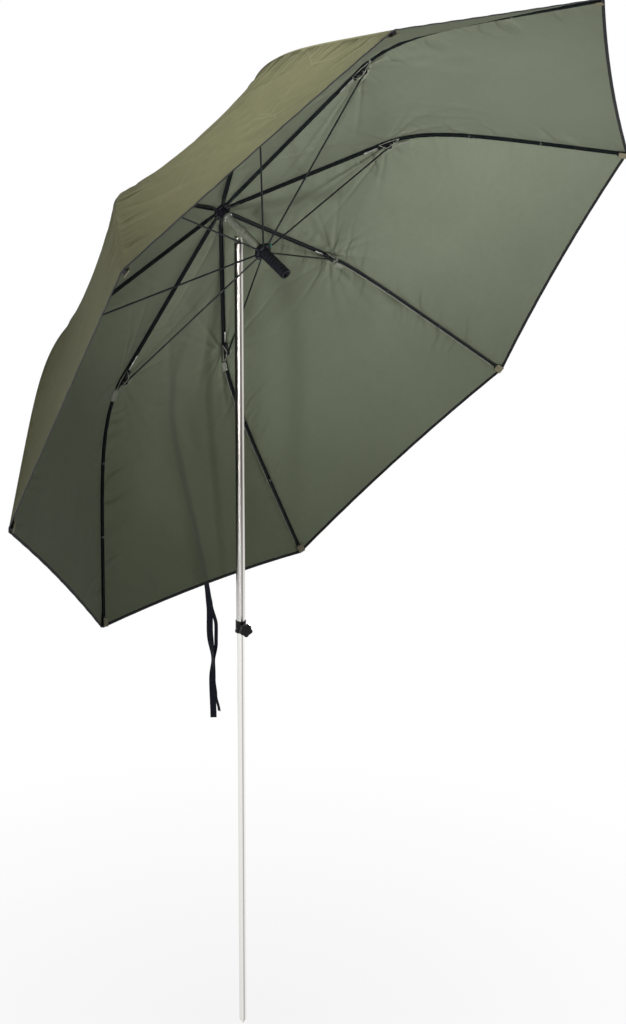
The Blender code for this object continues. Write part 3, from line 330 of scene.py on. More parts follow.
def panel_surface(panel, distance, share, lift, folds=True):
    """World points of the panel between ribs panel and panel + 1. Share runs from 0 to 1 between them."""
    distance, share = np.broadcast_arrays(np.asarray(distance, float), np.asarray(share, float))
    a, b = panel_sides(panel, distance, lift)
    width = np.linalg.norm(b - a, axis=-1)
    middle = (a + b) / 2.0 - CROWN
    outward = unit(middle - (middle @ HANDLE_AXIS)[..., None] * HANDLE_AXIS)
    slope = np.interp(np.maximum(distance, 0.0), RIB_TABLE[0], RIB_TABLE[3])[..., None]
    inward = -outward * np.sin(slope) + HANDLE_AXIS * np.cos(slope)
    along = outward * np.cos(slope) + HANDLE_AXIS * np.sin(slope)
    bow = 4.0 * share * (1.0 - share)
    run = rising(distance, CROWN_CLEAR, CLOTH_END - CROWN_CLEAR)
    hollow = PANEL_HOLLOW * np.sin(math.pi * run) ** PANEL_HOLLOW_POWER
    rim = np.clip((distance - RIB_INNER) / RIB_OUTER, 0.0, None)
    back = RIM_HOLLOW * bow * rim ** RIM_HOLLOW_POWER
    point = a * (1.0 - share)[..., None] + b * share[..., None]
    point = point + inward * (hollow * bow)[..., None] - along * back[..., None]
    if folds:
        point = point - inward * cloth_folds(panel, distance, share, width)[..., None]
    return point


# A gore's grid: where its bands of rows meet, the points of each, and its columns, closer at the seam
CROWN_BAND_END = 0.06
OUTER_BAND_BEFORE = 0.20
CROWN_ROWS, MIDDLE_ROWS, OUTER_ROWS = 5, 50, 190
HALF_COLUMNS = 29
COLUMN_POWER = 1.9
# How much stronger than its shape the cloth's folds are shaded
FOLD_SHADING = 1.9


def spaced_rows():
    """Distances of a gore's rows, closest where its folds are finest."""
    outer_start = RIB_INNER - OUTER_BAND_BEFORE
    inner = np.linspace(CLOTH_START, CROWN_BAND_END, CROWN_ROWS)[:-1]
    middle = np.linspace(CROWN_BAND_END, outer_start, MIDDLE_ROWS)[:-1]
    outer = np.linspace(outer_start, CLOTH_END, OUTER_ROWS)
    return np.concatenate([inner, middle, outer])


def outer_normals(grid, rows=None):
    """Normals of a grid, turned so that its first rows, or all, face the umbrella's outside."""
    normal = unit(np.cross(np.gradient(grid, axis=0), np.gradient(grid, axis=1)))
    outside = (normal[:rows] @ -HANDLE_AXIS).mean()
    return normal if outside > 0.0 else -normal


def gore_grid(number):
    """Points and normals of the cloth over one rib, from mid panel to mid panel."""
    rows = spaced_rows()[:, None]
    half = np.linspace(0.0, 0.5, HALF_COLUMNS) ** COLUMN_POWER
    half = half / half[-1] * 0.5
    past = np.concatenate([half, [half[-1] + (half[-1] - half[-2])]])
    middle = on_rib(number, rows[:, 0], CLOTH_LIFT)[:, None, :]
    grids = []
    for folds in (True, False):
        left = panel_surface(wrapped(number - 1), rows, (1.0 - past)[None, ::-1], CLOTH_LIFT, folds)
        right = panel_surface(number, rows, past[None, :], CLOTH_LIFT, folds)
        grids.append(np.concatenate([left, middle, right], 1))
    grid, plain = grids
    normal = outer_normals(plain + (grid - plain) * FOLD_SHADING)
    return grid[:, 1:-1], normal[:, 1:-1]


# Meshes

SHARP_ANGLE = 40.0
BOX_SHARP_ANGLE = 35.0
BOX_BEVEL_SEGMENTS = 2
BOX_BEVEL_PROFILE = 0.6


def link(name, data):
    """A new object in the scene that shows a mesh, a lamp or a camera."""
    obj = bpy.data.objects.new(name, data)
    bpy.context.scene.collection.objects.link(obj)
    return obj


def mesh_from(name, points, faces, materials, slots=None, normals=None):
    mesh = bpy.data.meshes.new(name)
    mesh.from_pydata([tuple(p) for p in points], [], faces)
    if slots is not None:
        mesh.polygons.foreach_set("material_index", slots)
    mesh.shade_smooth()
    if normals is not None:
        mesh.normals_split_custom_set_from_vertices([tuple(n) for n in normals])
    mesh.update()
    for material in materials:
        mesh.materials.append(material)
    return link(name, mesh)


def solid_from(name, points, faces, material, sharp=SHARP_ANGLE):
    """A closed mesh with its faces turned outwards, smooth but for edges sharper than stated."""
    obj = mesh_from(name, points, faces, (material,))
    shape = bmesh.new()
    shape.from_mesh(obj.data)
    bmesh.ops.recalc_face_normals(shape, faces=shape.faces)
    shape.to_mesh(obj.data)
    shape.free()
    obj.data.shade_smooth()
    obj.data.set_sharp_from_angle(angle=math.radians(sharp))
    return obj


def faces_inward(grid, normal):
    """True if quads in the grid's order face against the given normals."""
    a = grid[:-1, :-1]
    b = grid[:-1, 1:]
    c = grid[1:, 1:]
    face = np.cross(b - a, c - b)
    return float((face * normal[:-1, :-1]).sum()) < 0.0


def two_sided(name, grid, normal, half, materials):
    """A cloth of two skins, closed all round its edge. Materials are those of its outer and inner skin."""
    rows, columns = grid.shape[:2]
    outer = (grid + normal * half).reshape(-1, 3)
    inner = (grid - normal * half).reshape(-1, 3)
    count = rows * columns
    order = -1 if faces_inward(grid, normal) else 1
    faces = []
    slots = []
    for i in range(rows - 1):
        for j in range(columns - 1):
            a = i * columns + j
            quad = (a, a + 1, a + columns + 1, a + columns)[::order]
            faces += [quad, tuple(v + count for v in quad[::-1])]
            slots += [0, 1]
    rim = [i * columns for i in range(rows)]
    rim += [(rows - 1) * columns + j for j in range(1, columns)]
    rim += [i * columns + columns - 1 for i in range(rows - 2, -1, -1)]
    rim += list(range(columns - 2, 0, -1))
    for a, b in zip(rim, rim[1:] + rim[:1]):
        faces.append((a, b, b + count, a + count)[::order])
        slots.append(0)
    normals = np.concatenate([normal.reshape(-1, 3), -normal.reshape(-1, 3)])
    return mesh_from(name, np.concatenate([outer, inner]), faces, materials, slots, normals)


def ring_faces(rings, steps, closed=True):
    """Quads from each ring of points to the next, and from the last to the first if closed."""
    faces = []
    for i in range(rings if closed else rings - 1):
        a = i * steps
        b = (i + 1) % rings * steps
        for j in range(steps):
            k = (j + 1) % steps
            faces.append((a + j, a + k, b + k, b + j))
    return faces


def full_turn(steps):
    return [2.0 * math.pi * i / steps for i in range(steps)]


def placed_box(name, matrix, size, bevel, material, body):
    """A box with rounded edges, placed by its matrix, that rides on a body."""
    mesh = bpy.data.meshes.new(name)
    shape = bmesh.new()
    bmesh.ops.create_cube(shape, size=1.0)
    shape.transform(Matrix.Diagonal((*size, 1.0)))
    bmesh.ops.bevel(shape, geom=list(shape.edges), offset=bevel, segments=BOX_BEVEL_SEGMENTS,
                    profile=BOX_BEVEL_PROFILE, affect="EDGES")
    shape.to_mesh(mesh)
    shape.free()
    box = link(name, mesh)
    mesh.shade_smooth()
    mesh.set_sharp_from_angle(angle=math.radians(BOX_SHARP_ANGLE))
    mesh.transform(matrix)
    mesh.materials.append(material)
    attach(box, body)


# Shader nodes

WHITE = (1.0, 1.0, 1.0)
BLACK = (0.0, 0.0, 0.0)


def new_material(name):
    """A new material, its node tree and its shader."""
    material = bpy.data.materials.new(name)
    material.use_nodes = True
    return material, material.node_tree, material.node_tree.nodes["Principled BSDF"]


def fill(tree, node, inputs):
    """Links or sets a node's inputs, each named or numbered, and gives the node back."""
    for name, value in inputs.items():
        if isinstance(value, bpy.types.NodeSocket):
            tree.links.new(value, node.inputs[name])
        else:
            node.inputs[name].default_value = value
    return node


def add_node(tree, kind, inputs):
    return fill(tree, tree.nodes.new("ShaderNode" + kind), inputs)


def math_node(tree, operation, *values):
    node = tree.nodes.new("ShaderNodeMath")
    node.operation = operation
    return fill(tree, node, dict(enumerate(values))).outputs["Value"]


def ramp(tree, value, low, high, start=0.0, end=1.0):
    """Blends from the low colour to the high one while the value goes from start to end."""
    node = add_node(tree, "ValToRGB", {"Fac": value})
    for element, position, colour in zip(node.color_ramp.elements, (start, end), (low, high)):
        element.position = position
        element.color = (*colour, 1.0)
    return node.outputs["Color"]


def span(tree, value, low, high, start=0.0, end=1.0):
    """Goes from low to high while the value goes from start to end."""
    inputs = {"Value": value, "From Min": start, "From Max": end, "To Min": low, "To Max": high}
    return add_node(tree, "MapRange", inputs).outputs["Result"]


def coordinates(tree, scale=(1.0, 1.0, 1.0)):
    place = tree.nodes.new("ShaderNodeTexCoord").outputs["Object"]
    mapping = add_node(tree, "Mapping", {"Vector": place, "Scale": scale})
    return mapping.outputs["Vector"]


def noise_node(tree, vector, scale, detail=3.0, roughness=0.5):
    inputs = {"Vector": vector, "Scale": scale, "Detail": detail, "Roughness": roughness}
    return add_node(tree, "TexNoise", inputs).outputs["Fac"]


def cells_node(tree, vector, scale, feature="F1"):
    node = tree.nodes.new("ShaderNodeTexVoronoi")
    node.feature = feature
    return fill(tree, node, {"Vector": vector, "Scale": scale}).outputs["Distance"]


def gradient_node(tree, vector, kind):
    node = tree.nodes.new("ShaderNodeTexGradient")
    node.gradient_type = kind
    return fill(tree, node, {"Vector": vector}).outputs["Fac"]


def bump(tree, height, strength, distance, normal=None):
    inputs = {"Height": height, "Strength": strength, "Distance": distance}
    if normal is not None:
        inputs["Normal"] = normal
    return add_node(tree, "Bump", inputs).outputs["Normal"]


def mix_colours(tree, share, first, second):
    inputs = {"Fac": share, "Color1": first, "Color2": second}
    return add_node(tree, "MixRGB", inputs).outputs["Color"]


def mix_shaders(tree, share, first, second):
    """Sends a mix of two shaders to the material's surface."""
    mix = add_node(tree, "MixShader", {"Fac": share, 1: first, 2: second})
    fill(tree, tree.nodes["Material Output"], {"Surface": mix.outputs["Shader"]})


def seen_directly(tree):
    """1 for rays from the camera, also mirrored or let through, and 0 for those that only gather light."""
    rays = tree.nodes.new("ShaderNodeLightPath").outputs
    either = math_node(tree, "MAXIMUM", rays["Is Camera Ray"], rays["Is Glossy Ray"])
    return math_node(tree, "MAXIMUM", either, rays["Is Transmission Ray"])


# Materials

def surface(name, dark, light, rough, grain, relief, metallic=0.0, specular=0.5):
    """A worn, slightly uneven finish: two close colours, uneven gloss and a fine relief.

    Grain is the scale of the unevenness. Relief is the scale, strength and height of the fine bumps.
    """
    material, tree, shader = new_material(name)
    vector = coordinates(tree)
    broad = noise_node(tree, vector, grain, detail=4.0, roughness=0.55)
    fine = noise_node(tree, vector, relief[0], detail=2.0)
    fill(tree, shader, {
        "Base Color": ramp(tree, broad, dark, light, start=0.34, end=0.66),
        "Roughness": span(tree, broad, *rough),
        "Normal": bump(tree, fine, *relief[1:]),
        "Metallic": metallic,
        "Specular IOR Level": specular,
    })
    return material


MOTTLE_SHARE = 0.35
CREASE_BEND = 0.06
CREASE_PALE = 0.34
CLOTH_THROUGH = 0.26


def cloth_material(name, dark, light, through, rough, crease_depth, crease_light):
    """A coated woven cloth: uneven dye, weave, creases in patches with paler lines along them, and light that
    shines through it.
    """
    material, tree, shader = new_material(name)
    vector = coordinates(tree)
    broad = noise_node(tree, vector, scale=2.3, detail=5.0, roughness=0.6)
    mottle = noise_node(tree, vector, scale=55.0, detail=4.0, roughness=0.6)
    dye = math_node(tree, "MULTIPLY_ADD", mottle, MOTTLE_SHARE,
                    math_node(tree, "MULTIPLY", broad, 1.0 - MOTTLE_SHARE))
    colour = ramp(tree, dye, dark, light, start=0.36, end=0.64)
    wander = noise_node(tree, vector, scale=4.0, detail=2.0)
    bent = tree.nodes.new("ShaderNodeVectorMath")
    bent.operation = "MULTIPLY_ADD"
    fill(tree, bent, {0: wander.node.outputs["Color"], 1: (CREASE_BEND,) * 3, 2: vector})
    lines = cells_node(tree, bent.outputs[0], scale=5.5, feature="DISTANCE_TO_EDGE")
    creases = math_node(tree, "MULTIPLY", ramp(tree, lines, WHITE, BLACK, end=0.035),
                        span(tree, wander, low=0.0, high=0.75, start=0.45, end=0.60))
    pale = math_node(tree, "MULTIPLY", creases, CREASE_PALE)
    weave = bump(tree, cells_node(tree, vector, scale=900.0), strength=0.25, distance=0.0003)
    crumple = noise_node(tree, vector, scale=26.0, detail=6.0, roughness=0.62)
    crumpled = bump(tree, crumple, strength=0.30, distance=0.003, normal=weave)
    fill(tree, shader, {
        "Base Color": mix_colours(tree, pale, colour, (*crease_light, 1.0)),
        "Roughness": span(tree, mottle, *rough),
        "Normal": bump(tree, creases, strength=0.6, distance=crease_depth, normal=crumpled),
        "Sheen Weight": 0.02,
        "Sheen Roughness": 0.5,
        "Specular IOR Level": 0.08,
    })
    glow = add_node(tree, "BsdfTranslucent", {"Color": (*through, 1.0)})
    mix_shaders(tree, CLOTH_THROUGH, shader.outputs["BSDF"], glow.outputs["BSDF"])
    return material


def webbing_material(name, dark, light):
    """Ribbed webbing: close cross ribs and a soft sheen."""
    material, tree, shader = new_material(name)
    node = tree.nodes.new("ShaderNodeTexWave")
    node.wave_type = "BANDS"
    node.bands_direction = "Z"
    bands = fill(tree, node, {"Vector": coordinates(tree), "Scale": 160.0, "Distortion": 0.6}).outputs["Fac"]
    fill(tree, shader, {
        "Base Color": ramp(tree, bands, dark, light, start=0.1, end=0.9),
        "Normal": bump(tree, bands, strength=0.5, distance=0.0005),
        "Roughness": span(tree, bands, low=0.65, high=0.85),
        "Sheen Weight": 0.08,
        "Specular IOR Level": 0.2,
    })
    return material


def clear_material(name, dark, light, rough, alpha):
    """Clear soft plastic, slightly cloudy."""
    material, tree, shader = new_material(name)
    cloudy = noise_node(tree, coordinates(tree), scale=180.0)
    fill(tree, shader, {
        "Base Color": ramp(tree, cloudy, dark, light),
        "Roughness": span(tree, cloudy, *rough),
        "Alpha": alpha,
    })
    return material


# Painted reflection round the pole's tubes: light and dark bands in the base colour that stand in for reflected
# highlights and dark lines. Share of the full turn and brightness
UPPER_PAINTED_REFLECTION = ((0.0, 0.50), (0.10, 0.70), (0.16, 0.12), (0.25, 0.05), (0.305, 0.08), (0.345, 0.20), (0.385, 0.18),
                 (0.412, 0.02), (0.452, 0.0), (0.478, 0.62), (0.51, 0.95), (0.55, 0.62), (0.60, 0.18), (0.66, 0.60),
                 (0.74, 0.25), (0.82, 0.70), (0.90, 0.25), (1.0, 0.50))
LOWER_PAINTED_REFLECTION = ((0.0, 0.90), (0.16, 0.80), (0.25, 0.95), (0.375, 1.0), (0.40, 0.70), (0.432, 0.25), (0.465, 0.70),
                 (0.49, 1.0), (0.60, 0.90), (0.74, 1.0), (0.90, 0.80), (1.0, 0.90))
LOWER_TUBE_DARK = (0.22, 0.21, 0.19)
LOWER_TUBE_LIGHT = (0.97, 0.96, 0.93)
# How much of the lower tube's brighter painted reflection shows below the collar and just above it, and where that
# ends, so that the pole is painted lighter low down than higher up in the canopy's shade
LOWER_LOOK = 0.90
LOWER_LOOK_ABOVE = 0.55
LOWER_LOOK_END = 1.80
PAINTED_REFLECTION_GAIN = 0.85
PAINTED_REFLECTION_SHIFT = -0.04
GRAIN_GAIN = 0.22
TUBE_GRAIN = (300.0, 300.0, 1.5)


def painted_reflection_ramp(tree, angle, stops):
    """Painted reflection round a tube: tones from its stated bands."""
    node = add_node(tree, "ValToRGB", {"Fac": angle})
    bands = node.color_ramp.elements
    for position, _ in stops[1:-1]:
        bands.new(position)
    for band, (position, tone) in zip(bands, stops):
        band.position = position
        band.color = (tone, tone, tone, 1.0)
    return node.outputs["Color"]


def tube_material(name, dark, light, rough):
    """Anodised tube with painted reflection: light and dark bands round it stand in for reflections, painted
    lighter on the lower tube, and a lengthwise grain.
    """
    material, tree, shader = new_material(name)
    place = tree.nodes.new("ShaderNodeTexCoord").outputs["Object"]
    angle = gradient_node(tree, place, "RADIAL")
    height = add_node(tree, "SeparateXYZ", {"Vector": place}).outputs["Z"]
    grain = noise_node(tree, coordinates(tree, TUBE_GRAIN), scale=2.0, detail=4.0, roughness=0.6)
    # Painted reflection: bands of light and dark round the upper tube, where reflections would fall
    painted_reflection = math_node(tree, "MULTIPLY_ADD", painted_reflection_ramp(tree, angle, UPPER_PAINTED_REFLECTION), PAINTED_REFLECTION_GAIN, PAINTED_REFLECTION_SHIFT)
    upper = ramp(tree, math_node(tree, "MULTIPLY_ADD", grain, GRAIN_GAIN, painted_reflection), dark, light)
    lower = ramp(tree, painted_reflection_ramp(tree, angle, LOWER_PAINTED_REFLECTION), LOWER_TUBE_DARK, LOWER_TUBE_LIGHT)
    below = span(tree, height, low=LOWER_LOOK, high=0.0, start=COLLAR_LOW, end=COLLAR_HIGH)
    above = span(tree, height, low=LOWER_LOOK_ABOVE, high=0.0, start=COLLAR_HIGH, end=LOWER_LOOK_END)
    fill(tree, shader, {
        "Base Color": mix_colours(tree, math_node(tree, "MAXIMUM", below, above), upper, lower),
        "Roughness": span(tree, grain, *rough),
        "Normal": bump(tree, grain, strength=0.08, distance=0.0001),
        "Metallic": 1.0,
    })
    return material


# Materials of the frame's slots
MATERIALS = {
    "anodised_aluminium": tube_material("aluminium_tube_painted_reflection", (0.045, 0.038, 0.034), (0.84, 0.81, 0.76), (0.26, 0.36)),
    "zinc_steel": surface("zinc_plated_steel", (0.52, 0.52, 0.50), (0.78, 0.78, 0.76), (0.14, 0.30),
                          grain=220.0, relief=(900.0, 0.12, 0.0002), metallic=1.0),
    # Painted shade: the shaft has the pole's metal darkened and tinted olive, as it looks in the canopy's shade
    "shaft_metal": surface("shaft_tube_painted_shade", (0.150, 0.158, 0.125), (0.225, 0.232, 0.188), (0.38, 0.52),
                           grain=90.0, relief=(700.0, 0.10, 0.0002), metallic=0.25),
    "black_plastic": surface("black_moulding", (0.004, 0.004, 0.006), (0.011, 0.011, 0.014), (0.30, 0.46),
                             grain=120.0, relief=(1300.0, 0.16, 0.0003), specular=0.18),
    "black_rubber": surface("black_grip_rubber", (0.004, 0.004, 0.006), (0.010, 0.010, 0.014), (0.40, 0.56),
                            grain=150.0, relief=(1500.0, 0.20, 0.0003), specular=0.18),
    "black_rib_steel": surface("black_coated_rib", (0.004, 0.006, 0.007), (0.012, 0.016, 0.017), (0.24, 0.40),
                               grain=70.0, relief=(600.0, 0.10, 0.0002), specular=0.15),
    "dark_webbing": webbing_material("navy_webbing", (0.003, 0.004, 0.010), (0.010, 0.012, 0.026)),
}
# Materials of the cloth and of the trim that is only in the scene
CLOTH_IN = cloth_material("olive_cloth_inside", (0.152, 0.171, 0.125), (0.179, 0.200, 0.149), (0.28, 0.31, 0.21),
                          (0.60, 0.78), 0.0006, (0.182, 0.197, 0.144))
CLOTH_OUT = cloth_material("olive_cloth_outside", (0.152, 0.154, 0.086), (0.216, 0.214, 0.122), (0.30, 0.31, 0.20),
                           (0.72, 0.88), 0.0026, (0.30, 0.30, 0.20))
BINDING = webbing_material("black_edge_binding", (0.003, 0.003, 0.004), (0.009, 0.009, 0.011))
TAB_CLOTH = surface("beige_tab_cloth", (0.10, 0.09, 0.055), (0.19, 0.17, 0.11), (0.7, 0.85),
                    grain=240.0, relief=(1200.0, 0.5, 0.0005))
CHROME = surface("bright_rivet", (0.72, 0.72, 0.72), (0.88, 0.88, 0.88), (0.12, 0.22),
                 grain=200.0, relief=(800.0, 0.05, 0.0001), metallic=1.0)
# Dark tape, partly real and partly painted shade: along the seams it also stands in for each rib's shadow on the
# cloth
TAPE_AND_SHADE = surface("rib_tape", (0.006, 0.010, 0.009), (0.016, 0.022, 0.019), (0.35, 0.5),
               grain=80.0, relief=(500.0, 0.2, 0.0004))
CLEAR = clear_material("clear_loop_plastic", (0.24, 0.25, 0.20), (0.40, 0.41, 0.35), (0.15, 0.4), alpha=0.40)
# Painted highlight: a pale line beside each rib's outer part that stands in for the shine along the rib
HIGHLIGHT_PIPING = surface("painted_highlight_piping", (0.22, 0.24, 0.19), (0.34, 0.36, 0.30), (0.30, 0.45),
                 grain=120.0, relief=(900.0, 0.2, 0.0002))
GUARD = surface("clear_guard_plastic", (0.22, 0.23, 0.18), (0.34, 0.35, 0.29), (0.15, 0.30),
                grain=160.0, relief=(900.0, 0.1, 0.0001))
SLEEVE = surface("bright_rib_sleeve", (0.30, 0.30, 0.28), (0.62, 0.62, 0.60), (0.18, 0.30),
                 grain=90.0, relief=(900.0, 0.1, 0.0001), metallic=1.0)
GREEN = surface("green_catch_plastic", (0.004, 0.075, 0.050), (0.008, 0.110, 0.075), (0.30, 0.42),
                grain=120.0, relief=(900.0, 0.2, 0.0002))


def dress_frame():
    """Every CAD node that stays in view gets its slot's material."""
    slots = {entry["node"]: entry["material_slot"] for entry in frame["record"]["subparts"]}
    for name, obj in frame["nodes"].items():
        material = MATERIALS.get(slots.get(name))
        if material is not None:
            obj.data.materials.clear()
            obj.data.materials.append(material)


# Cloth and its binding

# The binding, and where on its width it is highest on each face
BINDING_WIDTH = 0.0075
BINDING_THICK = 0.0011
BINDING_LIP = 0.0002
BINDING_SHOULDERS = (0.85, 0.15)
BINDING_NOSE = 1.6
STITCH_HEIGHT = 0.00025
STITCH_TURN = 2.1


def fold_with_rib(obj, number):
    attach(obj, "rib_%d" % number)
    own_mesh(obj)


def make_binding(number, grid, normal):
    """Black tape folded over the cloth's rim, in a stitched band on each face."""
    edge = grid[-1]
    tangent = unit(edge - grid[-3])
    facing = normal[-2]
    stitch = STITCH_HEIGHT * np.sin(np.arange(len(edge)) * STITCH_TURN)[:, None]
    inner_shoulder, outer_shoulder = BINDING_SHOULDERS
    face = (
        (-BINDING_WIDTH, CLOTH_HALF + BINDING_LIP),
        (-BINDING_WIDTH * inner_shoulder, CLOTH_HALF + BINDING_THICK + stitch),
        (-BINDING_WIDTH * outer_shoulder, CLOTH_HALF + BINDING_THICK),
        (BINDING_THICK * BINDING_NOSE, CLOTH_HALF),
    )
    profile = [edge + tangent * along + facing * rise for along, rise in face]
    profile += [edge + tangent * along - facing * rise for along, rise in reversed(face)]
    ring = len(profile)
    points = np.stack(profile, 1).reshape(-1, 3)
    faces = ring_faces(len(edge), ring, closed=False)
    faces.append(tuple(range(ring))[::-1])
    faces.append(tuple(range(len(points) - ring, len(points))))
    return solid_from("rim_binding_%d" % number, points, faces, BINDING)


def build_gores():
    for number in RIB_NUMBERS:
        grid, normal = gore_grid(number)
        gore = two_sided("canopy_%d" % number, grid, normal, CLOTH_HALF, (CLOTH_OUT, CLOTH_IN))
        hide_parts("canopy_gore_%d" % number)
        fold_with_rib(gore, number)
        binding = make_binding(number, grid, normal)
        fold_with_rib(binding, number)


# Trim on the ribs. Distances run along a rib from its hinge, rise is square to it, towards the cloth.

SEAM_RISE = RIB_HALF + GAP / 2.0
# Strips: name, start, end, width, rise, side, thickness and material
RIB_STRIPS = (
    # The seam tapes under each rib are partly painted shade: their dark band also stands in for the rib's shadow on
    # the cloth
    ("seam_tape_and_shade_%d_1", 0.030, RIB_INNER - 0.012, 0.0136, SEAM_RISE, 0.0, 0.00016, TAPE_AND_SHADE),
    ("seam_tape_and_shade_%d_2", RIB_INNER + 0.016, RIB_LENGTH - 0.014, 0.0106, SEAM_RISE, 0.0, 0.00016, TAPE_AND_SHADE),
    # The pale piping is a painted highlight along the rib
    ("seam_piping_%d", RIB_INNER + 0.03, RIB_LENGTH - 0.03, 0.0016, SEAM_RISE - 0.0006, 0.0061, 0.0006, HIGHLIGHT_PIPING),
)
# Boxes: name, distance, rise, side, turn in degrees, size, bevel and material
RIB_BOXES = (
    ("corner_pocket_%d", RIB_LENGTH - 0.004, -RIB_HALF - 0.0038, 0.0, 0.0, (0.024, 0.0215, 0.0030), 0.0010,
     TAB_CLOTH),
    ("rib_sleeve_%d", RIB_INNER - 0.058, -RIB_HALF - 0.0010, 0.0, 0.0, (0.050, 0.0046, 0.0020), 0.0006, SLEEVE),
    ("rib_stop_%d", RIB_INNER - 0.028, -RIB_HALF - 0.0042, 0.0, 0.0, (0.012, 0.0110, 0.0080), 0.0014,
     MATERIALS["black_plastic"]),
    ("clear_tab_%d", RIB_INNER + 0.052, -0.0085, 0.0115, 20.0, (0.032, 0.0150, 0.0008), 0.0003, CLEAR),
)
# Loops that tie the cloth to the rib: distance and material, then the sizes of one
RIB_LOOPS = ((RIB_INNER + 0.034, CLEAR), (RIB_INNER + 0.25, TAPE_AND_SHADE), (RIB_INNER + 0.46, TAPE_AND_SHADE))
LOOP_WIDTH = 0.0084
LOOP_HEIGHT = 0.0074
LOOP_LENGTH = 0.006
LOOP_THICK = 0.0006
LOOP_STEPS = 20
LOOP_CORNER_POWER = 0.45
# The wire guard on each side of a bracket: distance from the bracket and rise of its corners
GUARD_OUTLINE = ((-0.032, -0.0048), (-0.018, -0.0230), (0.004, -0.0200), (0.036, -0.0060), (0.002, -0.0046))
GUARD_SIDE = 0.0086
GUARD_RADIUS = 0.0009
GUARD_STEPS = 8
GUARD_SHARP_ANGLE = 60.0
# The bright end of the rivet on each side of a bracket
RIVET_SIDE = 0.0070
RIVET_SIZE = (0.0048, 0.0016, 0.0048)
RIVET_BEVEL = 0.0006
STRIP_POINTS = 60
STRIP_COLUMNS = 3
NORMAL_STEP = 0.01
AHEAD = 0.002


def rib_place(number, distance, rise=0.0, side=0.0):
    """A frame on a rib: X along it, Y along its hinge axis and Z towards the cloth."""
    here = on_rib(number, distance, rise, side)
    ahead = on_rib(number, distance + AHEAD, rise, side)
    x = Vector(ahead - here).normalized()
    y = Vector(RIB_FRAMES[number][:3, 1])
    z = x.cross(y)
    matrix = Matrix((x, y, z)).transposed().to_4x4()
    matrix.translation = Vector(here)
    return matrix


def strip_along(name, number, start, end, width, rise, side, thick, material):
    """A thin strip on the seam, along a rib."""
    distance = np.linspace(start, end, STRIP_POINTS)[:, None]
    sides = side + np.linspace(-width / 2.0, width / 2.0, STRIP_COLUMNS)[None, :]
    grid = on_rib(number, distance, rise, sides)
    normal = unit(on_rib(number, distance, rise + NORMAL_STEP, sides) - grid)
    strip = two_sided(name, grid, normal, thick / 2.0, (material, material))
    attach(strip, "rib_%d" % number)


def rib_loop(name, matrix, material):
    """A thin band round a rib, nearly square."""
    points = []
    for x in (-LOOP_LENGTH / 2.0, LOOP_LENGTH / 2.0):
        for out in (0.0, LOOP_THICK):
            for angle in full_turn(LOOP_STEPS):
                c, s = math.cos(angle), math.sin(angle)
                y = math.copysign(abs(c) ** LOOP_CORNER_POWER, c) * (LOOP_WIDTH / 2.0 + out)
                z = math.copysign(abs(s) ** LOOP_CORNER_POWER, s) * (LOOP_HEIGHT / 2.0 + out)
                points.append(matrix @ Vector((x, y, z)))
    faces = []
    b, c, d = LOOP_STEPS, 2 * LOOP_STEPS, 3 * LOOP_STEPS
    for i in range(LOOP_STEPS):
        j = (i + 1) % LOOP_STEPS
        faces += [(i, j, b + j, b + i), (c + i, d + i, d + j, c + j),
                  (i, c + i, c + j, j), (b + i, b + j, d + j, d + i)]
    return solid_from(name, points, faces, material)


def wire_guard(name, points):
    """A round wire through the stated points and back to the first, each bend mitred."""
    points = [Vector(point) for point in points]
    vertices = []
    first = None
    for before, point, after in zip(points[-1:] + points, points, points[1:] + points[:1]):
        along = ((point - before).normalized() + (after - point).normalized()).normalized()
        if first is None:
            first = along.orthogonal().normalized()
        first = (first - along * first.dot(along)).normalized()
        second = along.cross(first)
        for angle in full_turn(GUARD_STEPS):
            vertices.append(point + (first * math.cos(angle) + second * math.sin(angle)) * GUARD_RADIUS)
    return solid_from(name, vertices, ring_faces(len(points), GUARD_STEPS), GUARD, GUARD_SHARP_ANGLE)


def build_rib_trim():
    for number in RIB_NUMBERS:
        body = "rib_%d" % number
        for name, *sizes in RIB_STRIPS:
            strip_along(name % number, number, *sizes)
        for name, distance, rise, side, turn, size, bevel, material in RIB_BOXES:
            matrix = rib_place(number, distance, rise, side) @ Matrix.Rotation(math.radians(turn), 4, "X")
            placed_box(name % number, matrix, size, bevel, material, body)
        for index, (distance, material) in enumerate(RIB_LOOPS):
            loop = rib_loop("rib_loop_%d_%d" % (number, index + 1), rib_place(number, distance), material)
            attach(loop, body)
        for side, mark in ((-1.0, "a"), (1.0, "b")):
            corners = [on_rib(number, RIB_INNER + along, rise, side * GUARD_SIDE) for along, rise in GUARD_OUTLINE]
            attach(wire_guard("bracket_guard_%d_%s" % (number, mark), corners), body)
            pivot = rib_world(number) @ Vector((BRACKET_X, side * RIVET_SIDE, -BRACKET_DROP))
            turn = rib_place(number, RIB_INNER).to_3x3().to_4x4()
            placed_box("rivet_%d_%s" % (number, mark), Matrix.Translation(pivot) @ turn, RIVET_SIZE, RIVET_BEVEL,
                       CHROME, body)


# Trim on the head

CATCH_TURN = math.radians(45.0)
CATCH_RADIUS = 0.0262
CATCH_DROP = 0.0010
CATCH_SIZE = (0.0070, 0.0120, 0.0100)
CATCH_BEVEL = 0.0022
# The bright ring's profile: distance below the crown's neck and out from the shaft
FERRULE_PROFILE = ((0.0, 0.0006), (0.0, 0.0021), (0.0012, 0.0027), (0.0062, 0.0027), (0.0074, 0.0021),
                   (0.0074, 0.0006))
FERRULE_STEPS = 40
FERRULE_SHARP_ANGLE = 50.0


